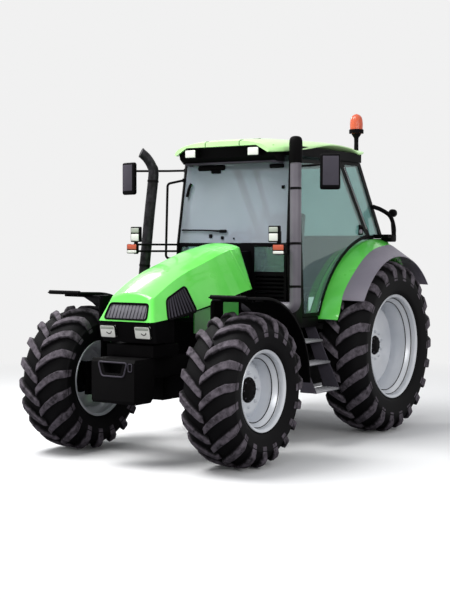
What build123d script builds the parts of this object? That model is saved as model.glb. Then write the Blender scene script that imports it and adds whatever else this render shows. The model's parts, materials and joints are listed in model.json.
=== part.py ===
from build123d import *
from math import atan2, cos, degrees, pi, radians, sin, sqrt
import os

os.makedirs("parts", exist_ok=True)

# A four-wheel-drive farm tractor with a six-cylinder engine under a sloping bonnet.
# Frame: +X to the nose, +Y to the tractor's left, +Z up. The origin lies on the ground
# at the middle of the tractor's overall length and width. All sizes are millimetres.

# ---- Driving dimensions: overall ----
REAR_AXLE_X = -1100.0
WHEELBASE = 2743.0
FRONT_AXLE_X = REAR_AXLE_X + WHEELBASE
SEAT_GAP = 0.3            # between pieces that only rest against each other
RUN_GAP = 0.05            # radial clearance of a pin that turns in its eye

# ---- Wheels and tyres ----
REAR_TYRE_R = 944.0
REAR_TYRE_W = 531.0
REAR_TRACK = 1873.0
REAR_FLANGE_R = 568.0
REAR_RIM_W = 450.0
REAR_DISC_INSET = 250.0   # outer flange face back to the disc
FRONT_TYRE_R = 719.0
FRONT_TYRE_W = 546.0
FRONT_TRACK = 1926.0
FRONT_FLANGE_R = 379.0
FRONT_RIM_W = 470.0
FRONT_DISC_INSET = 180.0
FLANGE_H = 25.0           # rim flange above the bead seat
RIM_T = 12.0
WELL_DEPTH = 45.0         # drop centre below the bead seat
DISC_T = 14.0
CARCASS_T = 38.0
LUG_H = 46.0
LUG_CHANNEL = 8.0         # half width of the plain strip between the two rows of lugs
SHOULDER_IN = 50.0        # side of the tyre in to the lug's shoulder
LUG_END_DROP = 90.0       # tread down to the lugs' outer ends on the side wall
REAR_LUGS = 22            # on each side of the tyre
REAR_LUG_W = 96.0
REAR_LUG_LAG = 230.0      # how far a lug's outer end trails its centre end
FRONT_LUGS = 19
FRONT_LUG_W = 80.0
FRONT_LUG_LAG = 235.0
REAR_INNER_Y = (REAR_TRACK - REAR_TYRE_W) / 2
REAR_OUTER_Y = (REAR_TRACK + REAR_TYRE_W) / 2
HALF_LENGTH = FRONT_AXLE_X + FRONT_TYRE_R + 4    # front bracket and lower-link ends, either way

# ---- Axles and steering ----
TRUMPET_R = 150.0
TRUMPET_END_Y = 600.0
REAR_HUB_R = 105.0
REAR_HUB_FLANGE_R = 190.0
FRONT_HUB_R = 118.0
KINGPIN_Y = 720.0
KINGPIN_R = 30.0
BEAM_END_R = 90.0
BEAM_END_H = 250.0
BEAM_HALF_X = 80.0
BEAM_BOTTOM_Z = 600.0
BEAM_TOP_Z = 800.0
KNUCKLE_ARM_T = 40.0
KNUCKLE_FACE_Y = 862.0    # the hub turns against this face
SPINDLE_END_Y = 960.0
ARM_LOW_Z = FRONT_TYRE_R - BEAM_END_H / 2 - SEAT_GAP
ARM_HIGH_Z = FRONT_TYRE_R + BEAM_END_H / 2 + SEAT_GAP
SPINDLE_R = 60.0
STEER_ARM = 200.0         # kingpin to tie-rod pin
TIE_ROD_R = 16.0
TIE_PIN_R = 12.0

# ---- Front mudguards, carried by the knuckles ----
GUARD_R = 845.0           # from the front axle to the guard's outer face
GUARD_T = 12.0
GUARD_Y = (760.0, 1190.0)
GUARD_FRONT_X = 270.0     # ahead of the axle
GUARD_POST_Y = (655.0, 682.0)

# ---- Engine, transmission and front frame ----
ENGINE_X = (430.0, FRONT_AXLE_X - 313)
ENGINE_HALF_W = 230.0
ENGINE_Z = (760.0, 1300.0)
DRIVE_SHAFT_Z = 700.0
DRIVE_SHAFT_R = 35.0
HOUSING_X = (-1420.0, 430.0)
HOUSING_HALF_W = 220.0
HOUSING_Z = (480.0, 1000.0)
BRACKET_X = FRONT_AXLE_X + 407    # back face of the front bracket
BRACKET_HALF_W = 250.0
BRACKET_Z = (590.0, 1000.0)
RAIL_HALF_W = 200.0
TOW_PIN_R = 16.0
TOW_PIN_BACK = 60.0       # behind the bracket's front face, midway in the jaw

# ---- Bonnet ----
BONNET_T = 8.0
HINGE_X = 860.0
HINGE_Z = 1960.0
HINGE_PIN_R = 8.0
HINGE_Y = 150.0           # inner face of each hinge lug
NOSE_FOOT = (2180.0, 1335.0)        # x and z of the leaning nose's lower edge
NOSE_HEAD = (2090.0, 1530.0)        # and of a point up its face
NOSE_ROUND = 50.0
MOUTH = [(-253, 23), (253, 23), (226, 182), (-226, 182)]        # y, and height up the nose's face
MOUTH_ROUND = 28.0
SIDE_GRILLE = [(1915, 1539), (1626, 1658), (1540, 1415), (1968, 1346)]        # x, z
GRILLE_ROUND = 30.0
PANEL_HALF_W = 319.0
BONNET_STATIONS = [
    # x, crown z, shoulder half width, shoulder z, foot half width, foot z
    (560, 2082, 252, 2045, 392, 1600),
    (820, 2035, 262, 1995, 386, 1565),
    (1137, 1955, 262, 1912, 377, 1500),
    (1466, 1855, 260, 1815, 368, 1440),
    (1780, 1742, 255, 1700, 355, 1385),
    (2010, 1625, 250, 1582, 338, 1352),
    (2150, 1545, 245, 1503, 325, 1338),
    (2330, 1430, 238, 1390, 312, 1332),
]

# ---- Cab ----
CAB_HALF_W = 765.0        # at the door sill
CAB_LEAN = 2.36           # degrees that each side leans in
SILL_Z = 1306.0
FLOOR_Z = (1200.0, 1240.0)
PLATFORM_Z = (1500.0, 1540.0)
WELL_Y = (REAR_INNER_Y - 59, REAR_INNER_Y - 42)    # wheel-well walls
CAB_FRONT_X = 400.0       # foot of the windscreen
CAB_REAR_X = -1640.0
SCREEN_FOOT_Z = 2070.0
SCREEN_HEAD = (300.0, 2900.0)
POST_TOP_Z = 2960.0
ROOF_FRAME_Z = 3060.0
DOOR_FRONT_X = 232.0
DOOR_GAP = 5.0
DOOR_T = 40.0
DOOR_RING = 36.0
DOOR_HINGES = (1560.0, 2700.0)      # heights
DOOR_BARREL_R = 13.0
DOOR_BARREL_H = 45.0
DOOR_PIN_R = 7.0
GLASS_T = 5.0

# ---- Rear mudguards ----
REAR_GUARD_T = 8.0
TYRE_ROOM = 46.0          # least room between tyre and mudguard
GUARD_SIDE_Y = 765.0
GUARD_EDGE_Y = 955.0
FLARE_EDGE_Y = REAR_OUTER_Y + 8
CREST_ROOM = 506.0        # radius of the inner edge over the tyre's
EDGE_ROOM = 209.0         # radius of the painted outer edge over the tyre's
TAIL_ROOM = (346.0, 221.0)          # the same two at the low rear end
# centre x, centre z and radius of the inner edge, then of the painted outer edge
CREST = (REAR_AXLE_X - 350, REAR_TYRE_R - 274, REAR_TYRE_R + CREST_ROOM)
OUTER = (REAR_AXLE_X - 194, REAR_TYRE_R - 48, REAR_TYRE_R + EDGE_ROOM)
RISER_X = REAR_AXLE_X + REAR_TYRE_R + TYRE_ROOM    # front of the seat platform
REAR_FOOT = (CAB_REAR_X, CREST[1] + CREST[2] + 8)  # x and z of the rear window's foot
REAR_HEAD = (-1130.0, POST_TOP_Z)

# ---- Rear linkage ----
LINK_PIVOT = (-1350.0, 550.0)
ARM_PIVOT = (-1350.0, 1200.0)
ARM_L = 420.0
LINK_EYE_R = 45.0
LINK_PIN_R = 18.0
ARM_SHAFT_R = 40.0
ROD_PIN_R = 12.0
ROD_Y = 331.0
BALL_BORE_R = 14.35
BALL_Y = 410.0
PTO_R = 17.45
CLEVIS_REACH = (68.0, 86.0)         # from a lift rod's pin to its fork's bridge


# ---- Small helpers ----
def flat(outline):
    """Face of an outline's points, facing up whichever way round they are given."""
    following = outline[1:] + outline[:1]
    turn = sum(a[0] * b[1] - b[0] * a[1] for a, b in zip(outline, following))
    return Polygon(*(outline if turn > 0 else outline[::-1]), align=None)


def box(x, y, z):
    """A block from low and high limits along each axis."""
    size = [high - low for low, high in (x, y, z)]
    middle = [(low + high) / 2 for low, high in (x, y, z)]
    return Pos(*middle) * Box(*size)


def prism_y(outline, y):
    """Outline of (x, z) points between two values of y."""
    plane = Plane(origin=(0, y[1], 0), x_dir=(1, 0, 0), z_dir=(0, -1, 0))
    return extrude(plane * flat(outline), amount=y[1] - y[0])


def prism_x(outline, x):
    """Outline of (y, z) points between two values of x."""
    plane = Plane(origin=(x[0], 0, 0), x_dir=(0, 1, 0), z_dir=(1, 0, 0))
    return extrude(plane * flat(outline), amount=x[1] - x[0])


def prism_z(outline, z):
    """Outline of (x, y) points between two values of z."""
    return extrude(Plane((0, 0, z[0])) * flat(outline), amount=z[1] - z[0])


def rod(start, end, radius):
    """A round bar between two points."""
    run = Vector(*end) - Vector(*start)
    plane = Plane(origin=start, z_dir=run)
    return extrude(plane * Circle(radius), amount=run.length)


def rod_y(x, z, radius, y):
    """A round bar along Y."""
    return rod((x, y[0], z), (x, y[1], z), radius)


def tube(points, radius, bend):
    """A round bar along straight runs joined by tangent arcs."""
    path = FilletPolyline(*points, radius=bend)
    section = Plane(origin=points[0], z_dir=path % 0) * Circle(radius)
    return sweep(section, path=path)


def both(part):
    """The left-hand piece and its mirror image on the right."""
    return [part, mirror(part, about=Plane.XZ)]


def save(name, *pieces):
    """Write one node, whose pieces stay separate solids."""
    solids = [solid for piece in pieces for solid in piece.solids()]
    node = solids[0] if len(solids) == 1 else Compound(children=solids)
    export_step(node, f"parts/{name}.step")


def save_pair(name, piece):
    """Write a left-hand node and its right-hand mirror image."""
    save(f"{name}_left", piece)
    save(f"{name}_right", mirror(piece, about=Plane.XZ))


# ---- Wheels ----
def turned(profile, x, y, z):
    """A piece turned about the Y axis from (radius, offset) points, then put in place."""
    return Pos(x, y, z) * revolve(flat(profile), axis=Axis.Y)


def rim_profile(flange_r, width):
    """Half section of the barrel: flanges, bead seats and drop centre."""
    half = width / 2
    seat_r = flange_r - FLANGE_H
    well_r = seat_r - WELL_DEPTH
    outside = [(flange_r, half), (flange_r, half - RIM_T), (seat_r, half - RIM_T)]
    outside += [(seat_r, half - 60), (well_r, half - 105)]
    inside = [(well_r - RIM_T, half - 110), (seat_r - RIM_T, half - 62), (seat_r - RIM_T, half)]
    across = [(r, -a) for r, a in reversed(outside)]
    return outside + across + [(r, -a) for r, a in reversed(inside)] + inside


def ring(radius, y, angles):
    """Points on a circle about the Y axis; each angle is measured from +Z towards +X."""
    return [(radius * sin(angle), y, radius * cos(angle)) for angle in angles]


def wedge(one, two):
    """Pairs of triangles between two closed rings of equally many points."""
    made = []
    for n, m in zip(range(len(one)), [*range(1, len(one)), 0]):
        made += [(one[n], one[m], two[n]), (one[m], two[m], two[n])]
    return made


def tread(rows, lugs, phase):
    """Triangles of one side's lugs and of the grooves between them, with its first and last ring.

    Each row is (y, carcass radius, lug radius, lag of the lug's middle, half width of the lug)."""
    pitch = 2 * pi / lugs
    low, high = [], []
    for y, low_r, high_r, lag, half in rows:
        edges = [phase + n * pitch + (side * half - lag) / high_r for n in range(lugs) for side in (-1, 1)]
        low.append(ring(low_r, y, edges))
        high.append(ring(high_r, y, edges))
    high[-1] = low[-1]                          # a lug runs out into the side wall
    made = []
    for low0, low1, high0, high1 in zip(low, low[1:], high, high[1:]):
        ends_here = high1 is low1
        for a in range(0, 2 * lugs, 2):
            b, c = a + 1, (a + 2) % (2 * lugs)
            made += [(low0[b], low0[c], low1[c]), (low0[b], low1[c], low1[b])]
            made += [(high0[a], high0[b], high1[b]), (high0[a], high1[b], high1[a])]
            for n in (a, b):
                made.append((low0[n], high0[n], low1[n]))
                if not ends_here:
                    made.append((low1[n], high0[n], high1[n]))
    for a in range(0, 2 * lugs, 2):             # the lugs' centre ends
        made += [(low[0][a], low[0][a + 1], high[0][a + 1]), (low[0][a], high[0][a + 1], high[0][a])]
    return made, low[0], low[-1]


def tyre(tyre_r, tyre_w, flange_r, rim_w, lugs, lug_w, lag):
    """Carcass in flat facets, one for each lug, with the herringbone of lugs in one piece with it."""
    half = tyre_w / 2
    pitch = 2 * pi / lugs
    ground = tyre_r - LUG_H                     # carcass under the lugs
    seat = (flange_r - FLANGE_H + SEAT_GAP) / cos(pitch / 2)
    bead = rim_w / 2 - RIM_T - SEAT_GAP
    middle = (tyre_r + flange_r) / 2
    end_r = tyre_r - LUG_END_DROP
    start = lug_w / 2 / tyre_r                  # the first lug's leading corner is straight up
    faces, crown, lining = [], [], []
    for side, phase in ((1, start), (-1, start + pitch / 2)):
        rows = [
            (side * LUG_CHANNEL, ground, tyre_r, 0, lug_w / 2),
            (side * (half - SHOULDER_IN), ground - 14, tyre_r - 6, lag * 0.8, lug_w * 0.58),
            (side * half, end_r - 60, end_r, lag, lug_w * 0.6),
        ]
        wall = [
            # y, radius: down the side wall, round the bead and up inside
            (half, middle), (half - 14, flange_r + 45), (bead, flange_r + 8), (bead, seat),
            (bead - CARCASS_T, seat), (bead - CARCASS_T, flange_r), (half - CARCASS_T, middle),
            (half - 110, ground - CARCASS_T),
        ]
        faces_here, first, foot = tread(rows, lugs, phase)
        faces += faces_here
        crown.append(first)
        angles = [phase + (n + 0.5) * pitch - lag / end_r for n in range(lugs)]
        loops = [ring(r, side * y, angles) for y, r in wall]
        for n in range(lugs):                   # from two points a lug to one
            before, here = loops[0][n - 1], loops[0][n]
            a, b, c = foot[2 * n], foot[2 * n + 1], foot[(2 * n + 2) % (2 * lugs)]
            faces += [(before, a, b), (before, b, here), (here, b, c)]
        for one, two in zip(loops, loops[1:]):
            faces += [(one[n - 1], one[n], two[n], two[n - 1]) for n in range(lugs)]
        lining.append(loops[-1])
    faces += wedge(crown[0], crown[1][-1:] + crown[1][:-1])
    faces += wedge(*lining)
    return Solid(Shell([Face(Wire.make_polygon([Vector(*p) for p in face])) for face in faces]))


def rim(flange_r, width, inset, hub_r):
    """Barrel with its dished disc, about the origin with the outside towards +Y."""
    half = width / 2
    barrel = revolve(flat(rim_profile(flange_r, width)), axis=Axis.Y)
    face = half - inset
    well = flange_r - FLANGE_H - WELL_DEPTH - RIM_T
    dish = 60.0
    dish_profile = [(hub_r, face), (well - 90, face), (well + 2, face - dish)]
    dish_profile += [(well + 2, face - dish - DISC_T), (well - 90, face - DISC_T), (hub_r, face - DISC_T)]
    return barrel + revolve(flat(dish_profile), axis=Axis.Y)


def wheels():
    rear_face = REAR_TRACK / 2 + REAR_RIM_W / 2 - REAR_DISC_INSET
    front_face = FRONT_TRACK / 2 + FRONT_RIM_W / 2 - FRONT_DISC_INSET
    table = [
        # name, axle x, tyre radius, tyre width, track, flange radius, rim width, lugs, lug width, lag
        ("rear", REAR_AXLE_X, REAR_TYRE_R, REAR_TYRE_W, REAR_TRACK, REAR_FLANGE_R, REAR_RIM_W,
         REAR_LUGS, REAR_LUG_W, REAR_LUG_LAG),
        ("front", FRONT_AXLE_X, FRONT_TYRE_R, FRONT_TYRE_W, FRONT_TRACK, FRONT_FLANGE_R, FRONT_RIM_W,
         FRONT_LUGS, FRONT_LUG_W, FRONT_LUG_LAG),
    ]
    for name, x, tyre_r, tyre_w, track, flange_r, rim_w, lugs, lug_w, lag in table:
        made = tyre(tyre_r, tyre_w, flange_r, rim_w, lugs, lug_w, lag)
        save_pair(f"{name}_tyre", Pos(x, track / 2, tyre_r) * made)

    z = REAR_TYRE_R
    back = rear_face - DISC_T
    hub = rod_y(REAR_AXLE_X, z, REAR_HUB_R, (TRUMPET_END_Y + SEAT_GAP, rear_face + 25))
    hub += rod_y(REAR_AXLE_X, z, REAR_HUB_FLANGE_R, (back - 24, back - SEAT_GAP))
    rear = rim(REAR_FLANGE_R, REAR_RIM_W, REAR_DISC_INSET, REAR_HUB_R + SEAT_GAP)
    rear = Pos(REAR_AXLE_X, REAR_TRACK / 2, z) * rear
    save("rear_rim_left", rear, hub)
    save("rear_rim_right", *[mirror(piece, about=Plane.XZ) for piece in (rear, hub)])

    z = FRONT_TYRE_R
    back = front_face - DISC_T
    hub = rod_y(FRONT_AXLE_X, z, FRONT_HUB_R, (KNUCKLE_FACE_Y + SEAT_GAP, front_face + 28))
    hub += rod_y(FRONT_AXLE_X, z, FRONT_HUB_R + 40, (back - 22, back - SEAT_GAP))
    hub -= rod_y(FRONT_AXLE_X, z, SPINDLE_R + RUN_GAP, (KNUCKLE_FACE_Y, SPINDLE_END_Y + 1))
    save_pair("front_hub", hub)
    front = rim(FRONT_FLANGE_R, FRONT_RIM_W, FRONT_DISC_INSET, FRONT_HUB_R + SEAT_GAP)
    save_pair("front_rim", Pos(FRONT_AXLE_X, FRONT_TRACK / 2, z) * front)


# ---- Steered front axle ----

def front_axle():
    x, z = FRONT_AXLE_X, FRONT_TYRE_R
    end = (z - BEAM_END_H / 2, z + BEAM_END_H / 2)
    beam = prism_y([(x - BEAM_HALF_X, BEAM_BOTTOM_Z + 20), (x - 60, BEAM_BOTTOM_Z), (x + 60, BEAM_BOTTOM_Z),
                    (x + BEAM_HALF_X, BEAM_BOTTOM_Z + 20), (x + BEAM_HALF_X, BEAM_TOP_Z - SEAT_GAP),
                    (x - BEAM_HALF_X, BEAM_TOP_Z - SEAT_GAP)], (-KINGPIN_Y + 20, KINGPIN_Y - 20))
    for side in (1, -1):
        beam += rod((x, side * KINGPIN_Y, end[0]), (x, side * KINGPIN_Y, end[1]), BEAM_END_R)
    beam += box((x - 120, x + 120), (-130, 130), (BEAM_BOTTOM_Z - 30, BEAM_TOP_Z - SEAT_GAP))
    for side in (1, -1):
        beam -= rod((x, side * KINGPIN_Y, end[0] - 1), (x, side * KINGPIN_Y, end[1] + 1), KINGPIN_R + RUN_GAP)
    start = (HOUSING_X[1], 0, DRIVE_SHAFT_Z)
    shaft = rod(start, (x - 110, 0, DRIVE_SHAFT_Z), DRIVE_SHAFT_R)
    save("front_axle", beam + shaft)


def knuckle():
    """Left swivel housing: two arms above and below the beam's end, and the spindle."""
    x, z = FRONT_AXLE_X, FRONT_TYRE_R
    low = (ARM_LOW_Z - KNUCKLE_ARM_T, ARM_LOW_Z)
    high = (ARM_HIGH_Z, ARM_HIGH_Z + KNUCKLE_ARM_T)
    body = Part()
    for level in (low, high):
        body += rod((x, KINGPIN_Y, level[0]), (x, KINGPIN_Y, level[1]), 78)
        body += box((x - 70, x + 70), (KINGPIN_Y, KNUCKLE_FACE_Y - 10), level)
    body += box((x - 95, x + 95), (KINGPIN_Y + 102, KNUCKLE_FACE_Y), (low[0], high[1]))
    body += rod((x, KINGPIN_Y, low[0]), (x, KINGPIN_Y, high[1]), KINGPIN_R)
    body += rod_y(x, z, SPINDLE_R, (KNUCKLE_FACE_Y - 5, SPINDLE_END_Y))
    arm = box((x - STEER_ARM, x - 40), (KINGPIN_Y - 28, KINGPIN_Y + 28), (low[0], ARM_LOW_Z))
    body += arm + rod((x - STEER_ARM, KINGPIN_Y, low[0]), (x - STEER_ARM, KINGPIN_Y, ARM_LOW_Z), 28)
    body -= rod((x - STEER_ARM, KINGPIN_Y, low[0] - 1), (x - STEER_ARM, KINGPIN_Y, ARM_LOW_Z + 1),
                TIE_PIN_R + RUN_GAP)
    save_pair("knuckle", body)


def tie_rod():
    x = FRONT_AXLE_X - STEER_ARM
    z = ARM_LOW_Z + SEAT_GAP + 24
    bar = rod((x, -KINGPIN_Y, z), (x, KINGPIN_Y, z), TIE_ROD_R)
    for side in (1, -1):
        y = side * KINGPIN_Y
        bar += rod((x, y, z - 24), (x, y, z + 24), 26)
        bar += rod((x, y, ARM_LOW_Z - KNUCKLE_ARM_T - 6), (x, y, z), TIE_PIN_R)
    save("tie_rod", bar)


def front_guard():
    """Curved mudguard over the left front wheel, with its post and two brackets."""
    x, z = FRONT_AXLE_X, FRONT_TYRE_R
    ring = (GUARD_R, GUARD_R - GUARD_T)
    steps = 9
    sweep_deg = [180 - 90 * n / steps for n in range(steps + 1)]
    outer = [(x + ring[0] * cos(radians(a)), z + ring[0] * sin(radians(a))) for a in sweep_deg]
    inner = [(x + ring[1] * cos(radians(a)), z + ring[1] * sin(radians(a))) for a in sweep_deg]
    lip = [(x + GUARD_FRONT_X, z + ring[0] + 12), (x + GUARD_FRONT_X, z + ring[1] + 12)]
    guard = prism_y(outer + lip + inner[::-1], GUARD_Y)
    foot = ARM_HIGH_Z + KNUCKLE_ARM_T + SEAT_GAP
    top = z + ring[1] - 1.2
    post = box((x - 60, x + 60), GUARD_POST_Y, (foot, top - 20))
    post += box((x - 60, x + 60), (GUARD_POST_Y[0], GUARD_Y[1] - 60), (top - 20, top - 6))
    post += box((x - 10, x + 60), (GUARD_Y[0] + 10, GUARD_Y[1] - 60), (top - 10, top))
    save("front_guard_left", guard, post)
    save("front_guard_right", *[mirror(piece, about=Plane.XZ) for piece in (guard, post)])


# ---- Engine, transmission and frame ----
def driveline():
    engine = box(ENGINE_X, (-ENGINE_HALF_W, ENGINE_HALF_W), ENGINE_Z)
    save("engine_block", engine)

    x0, x1 = HOUSING_X
    z0, z1 = HOUSING_Z
    outline = [(x0, z0 + 40), (x0 + 60, z0), (-300, z0), (x1 - SEAT_GAP, z0 + 180), (x1 - SEAT_GAP, z1 + 120)]
    outline += [(100, z1), (-900, z1), (-960, 1160), (x0, 1160)]
    housing = prism_y(outline, (-HOUSING_HALF_W, HOUSING_HALF_W))
    for side in (1, -1):
        inner = side * (HOUSING_HALF_W - 20)
        outer = side * TRUMPET_END_Y
        housing += rod((REAR_AXLE_X, inner, REAR_TYRE_R), (REAR_AXLE_X, outer, REAR_TYRE_R), TRUMPET_R)
        root = side * (HOUSING_HALF_W - 10)
        (ax, az), (lx, lz) = ARM_PIVOT, LINK_PIVOT
        housing += rod((ax, root, az - 120), (ax, side * 240, az - 120), 60)
        housing += rod((lx, root, lz), (lx, side * 300, lz), LINK_PIN_R)
    outline = [(x0 + 10, 1150), (ARM_PIVOT[0] - 70, 1280), (ARM_PIVOT[0] + 70, 1280), (-1050, 1150)]
    lift = prism_y(outline, (-190, 190))
    shaft = rod_y(*ARM_PIVOT, ARM_SHAFT_R, (-ROD_Y - 22, ROD_Y + 22))
    save("transmission_housing", housing + lift + shaft)

    back = ENGINE_X[1] + SEAT_GAP
    rail = [(back, 760), (FRONT_AXLE_X - 163, BEAM_TOP_Z), (BRACKET_X + 20, BEAM_TOP_Z)]
    rail += [(BRACKET_X + 20, 1000), (back, 1000)]
    rail = prism_y(rail, (-RAIL_HALF_W, RAIL_HALF_W))
    (z0, z1), end = BRACKET_Z, HALF_LENGTH
    block = [(BRACKET_X, 640), (BRACKET_X + 60, z0), (end - 30, z0), (end, z0 + 30), (end, z1 - 30)]
    block = prism_y(block + [(end - 30, z1), (BRACKET_X, z1)], (-BRACKET_HALF_W, BRACKET_HALF_W))
    pin_x = HALF_LENGTH - TOW_PIN_BACK
    jaw = prism_x([(-120, 960), (120, 960), (90, 870), (-90, 870)], (pin_x - TOW_PIN_BACK, HALF_LENGTH + 1))
    pin = rod((pin_x, 0, BRACKET_Z[0] - 1), (pin_x, 0, BRACKET_Z[1] + 1), TOW_PIN_R)
    save("front_frame", rail + block - jaw - pin)

    cowl = box((1700, NOSE_FOOT[0] - 75), (-275, 275), (1000 + SEAT_GAP, 1120))
    core = box((1750, 1900), (-262, 262), (1120 + SEAT_GAP, 1560))
    save("radiator", cowl, core)


def side_panels():
    """Dark green panels low on each side of the engine, with their top edge under the bonnet."""
    panel = prism_y([(735, 1200), (1500, 1200), (1500, 1400), (735, 1520)], (300, 312))
    lug = box((760, 1300), (ENGINE_HALF_W + SEAT_GAP, 300), (1230, 1290))
    save("engine_side_panels", *both(panel + lug))


# ---- Bonnet ----
def bonnet_form(inset, drop):
    """The bonnet's outer form moved in by a distance, with its foot lowered by another."""
    sections = []
    for x, crown, wt, zt, wb, zb in BONNET_STATIONS:
        top = crown - inset
        shoulder = (wt - inset, zt - inset)
        foot = (wb - inset, zb - drop)
        arc = ThreePointArc((shoulder[0], shoulder[1]), (0, top), (-shoulder[0], shoulder[1]))
        sides = Polyline((-shoulder[0], shoulder[1]), (-foot[0], foot[1]), (foot[0], foot[1]), shoulder)
        plane = Plane(origin=(x, 0, 0), x_dir=(0, 1, 0), z_dir=(1, 0, 0))
        sections.append(plane * make_face([arc, sides]))
    return loft(sections)


def nose_cut(back):
    """What lies ahead of the leaning nose face, moved back by a distance."""
    (fx, fz), (hx, hz) = NOSE_FOOT, NOSE_HEAD
    slope = (hx - fx) / (hz - fz)
    low = (fx + slope * (1200 - fz) - back, 1200)
    high = (fx + slope * (2200 - fz) - back, 2200)
    return prism_y([low, (low[0] + 900, 1200), (low[0] + 900, 2200), high], (-600, 600))


def nosed(form, back, radius):
    """A bonnet form cut off at the leaning nose, with the edges of the nose rounded."""
    (fx, fz), (hx, hz) = NOSE_FOOT, NOSE_HEAD
    slope = (hx - fx) / (hz - fz)
    form = form - nose_cut(back)
    front = [edge for edge in form.edges() if edge.center().Z > fz + 20
             and abs(edge.center().X - fx + back - slope * (edge.center().Z - fz)) < 1]
    return fillet(front, radius)


def across(outline, shrink, radius):
    """A rounded outline of (x, z) points, drawn in on every side, cut from side to side."""
    face = fillet(flat(outline).vertices(), radius)
    if shrink:
        face = offset(face, amount=-shrink)
    plane = Plane(origin=(0, 600, 0), x_dir=(1, 0, 0), z_dir=(0, -1, 0))
    return extrude(plane * face, amount=1200)


def bonnet():
    outer = nosed(bonnet_form(0, 0), 0, NOSE_ROUND)
    inner = nosed(bonnet_form(BONNET_T, 60), BONNET_T * 1.2, NOSE_ROUND - BONNET_T)
    rear = [(400, 1500), (590, 1500), (620, 1580), (820, 1995), (838, 2200), (400, 2200)]
    rear = prism_y(rear, (-600, 600))
    skin = outer - inner - rear
    skin -= across(SIDE_GRILLE, 0, GRILLE_ROUND)
    nose = Plane(origin=(NOSE_FOOT[0], 0, NOSE_FOOT[1]), x_dir=(0, 1, 0),
                 z_dir=(NOSE_HEAD[1] - NOSE_FOOT[1], 0, NOSE_FOOT[0] - NOSE_HEAD[0]))
    mouth = fillet(flat(MOUTH).vertices(), MOUTH_ROUND)
    skin -= extrude(nose.offset(-60) * mouth, amount=120)
    eye = box((HINGE_X - 20, HINGE_X + 20), (HINGE_Y + 16, HINGE_Y + 26), (HINGE_Z - 18, HINGE_Z + 80))
    eye = eye & bonnet_form(2, 60)
    eye += rod_y(HINGE_X, HINGE_Z, HINGE_PIN_R, (HINGE_Y - 2, HINGE_Y + 26))
    for part in both(eye):
        skin += part
    save("bonnet_shell", skin)

    band = bonnet_form(2, 2) - bonnet_form(7, 60)
    grille = band & across(SIDE_GRILLE, SEAT_GAP, GRILLE_ROUND)
    inside = across(SIDE_GRILLE, 22, GRILLE_ROUND)
    count, pitch = 8, 44
    for n in range(count):
        x = 1580 + pitch * n
        slot = [(x, 1390), (x + pitch / 2, 1390), (x + pitch / 2 + 44, 1660), (x + 44, 1660)]
        grille -= prism_y(slot, (-600, 600)) & inside
    save("side_grilles", *[solid for solid in grille.solids() if solid.volume > 1000])

    plate = extrude(nose.offset(-8) * offset(mouth, amount=-SEAT_GAP), amount=5)
    count, pitch = 10, 43
    for n in range(count):
        y = (n - (count - 1) / 2) * pitch
        plate -= extrude(nose.offset(-20) * Pos(y, 102) * Rectangle(pitch / 2, 122), amount=40)
    save("front_grille", plate)

    front = NOSE_FOOT[0] - 3
    panel = prism_y([(front - 262, 1140), (front - 262, 1365), (front, 1365), (front - 47, 1140)],
                    (-PANEL_HALF_W, PANEL_HALF_W))
    corners = [edge for edge in panel.edges() if edge.center().X > front - 60 and abs(edge.center().Y) > 300]
    panel = fillet(corners, NOSE_ROUND)
    hollow = prism_y([(front - 352, 1100), (front - 352, 1320), (front - 20, 1320), (front - 62, 1100)],
                     (10 - PANEL_HALF_W, PANEL_HALF_W - 10))
    corners = [edge for edge in hollow.edges() if edge.center().X > front - 80 and abs(edge.center().Y) > 300]
    panel -= fillet(corners, NOSE_ROUND - 10)
    panel -= bonnet_form(-SEAT_GAP, SEAT_GAP)
    save("nose_panel", max(panel.solids(), key=lambda solid: solid.volume))
    lamps = []
    for side in (1, -1):
        tilt = degrees(atan2(40, 187))
        lamp = Pos(front - 11, side * 204, 1240) * Rot(0, tilt, 0) * Box(28, 185, 125)
        lamps.append(fillet(lamp.edges().filter_by(Axis.X, tolerance=20), 18))
    save("headlamps", *lamps)


# ---- Cab ----
def side_y(z):
    """Half width of the cab's outer side at a height."""
    return CAB_HALF_W - (z - SILL_Z) * sin(radians(CAB_LEAN)) / cos(radians(CAB_LEAN))


def screen_x(z):
    """Front of the windscreen's plane at a height; upright below its foot."""
    if z <= SCREEN_FOOT_Z:
        return CAB_FRONT_X
    rise = (z - SCREEN_FOOT_Z) / (SCREEN_HEAD[1] - SCREEN_FOOT_Z)
    return CAB_FRONT_X + rise * (SCREEN_HEAD[0] - CAB_FRONT_X)


def side_face(outline, inset=0.0):
    """Face of (x, z) points on the left side's leaning plane, that far inside it."""
    lean = radians(CAB_LEAN)
    plane = Plane(origin=(0, CAB_HALF_W, SILL_Z), x_dir=(1, 0, 0), z_dir=(0, -cos(lean), -sin(lean)))
    spread = [(x, (z - SILL_Z) / cos(lean)) for x, z in outline]
    return plane.offset(inset) * flat(spread)


def on_arc(circle, x, extra=0.0):
    """Height of a circle's upper side above x, with its radius made larger."""
    cx, cz, r = circle
    return cz + sqrt((r + extra) ** 2 - (x - cx) ** 2)


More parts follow.
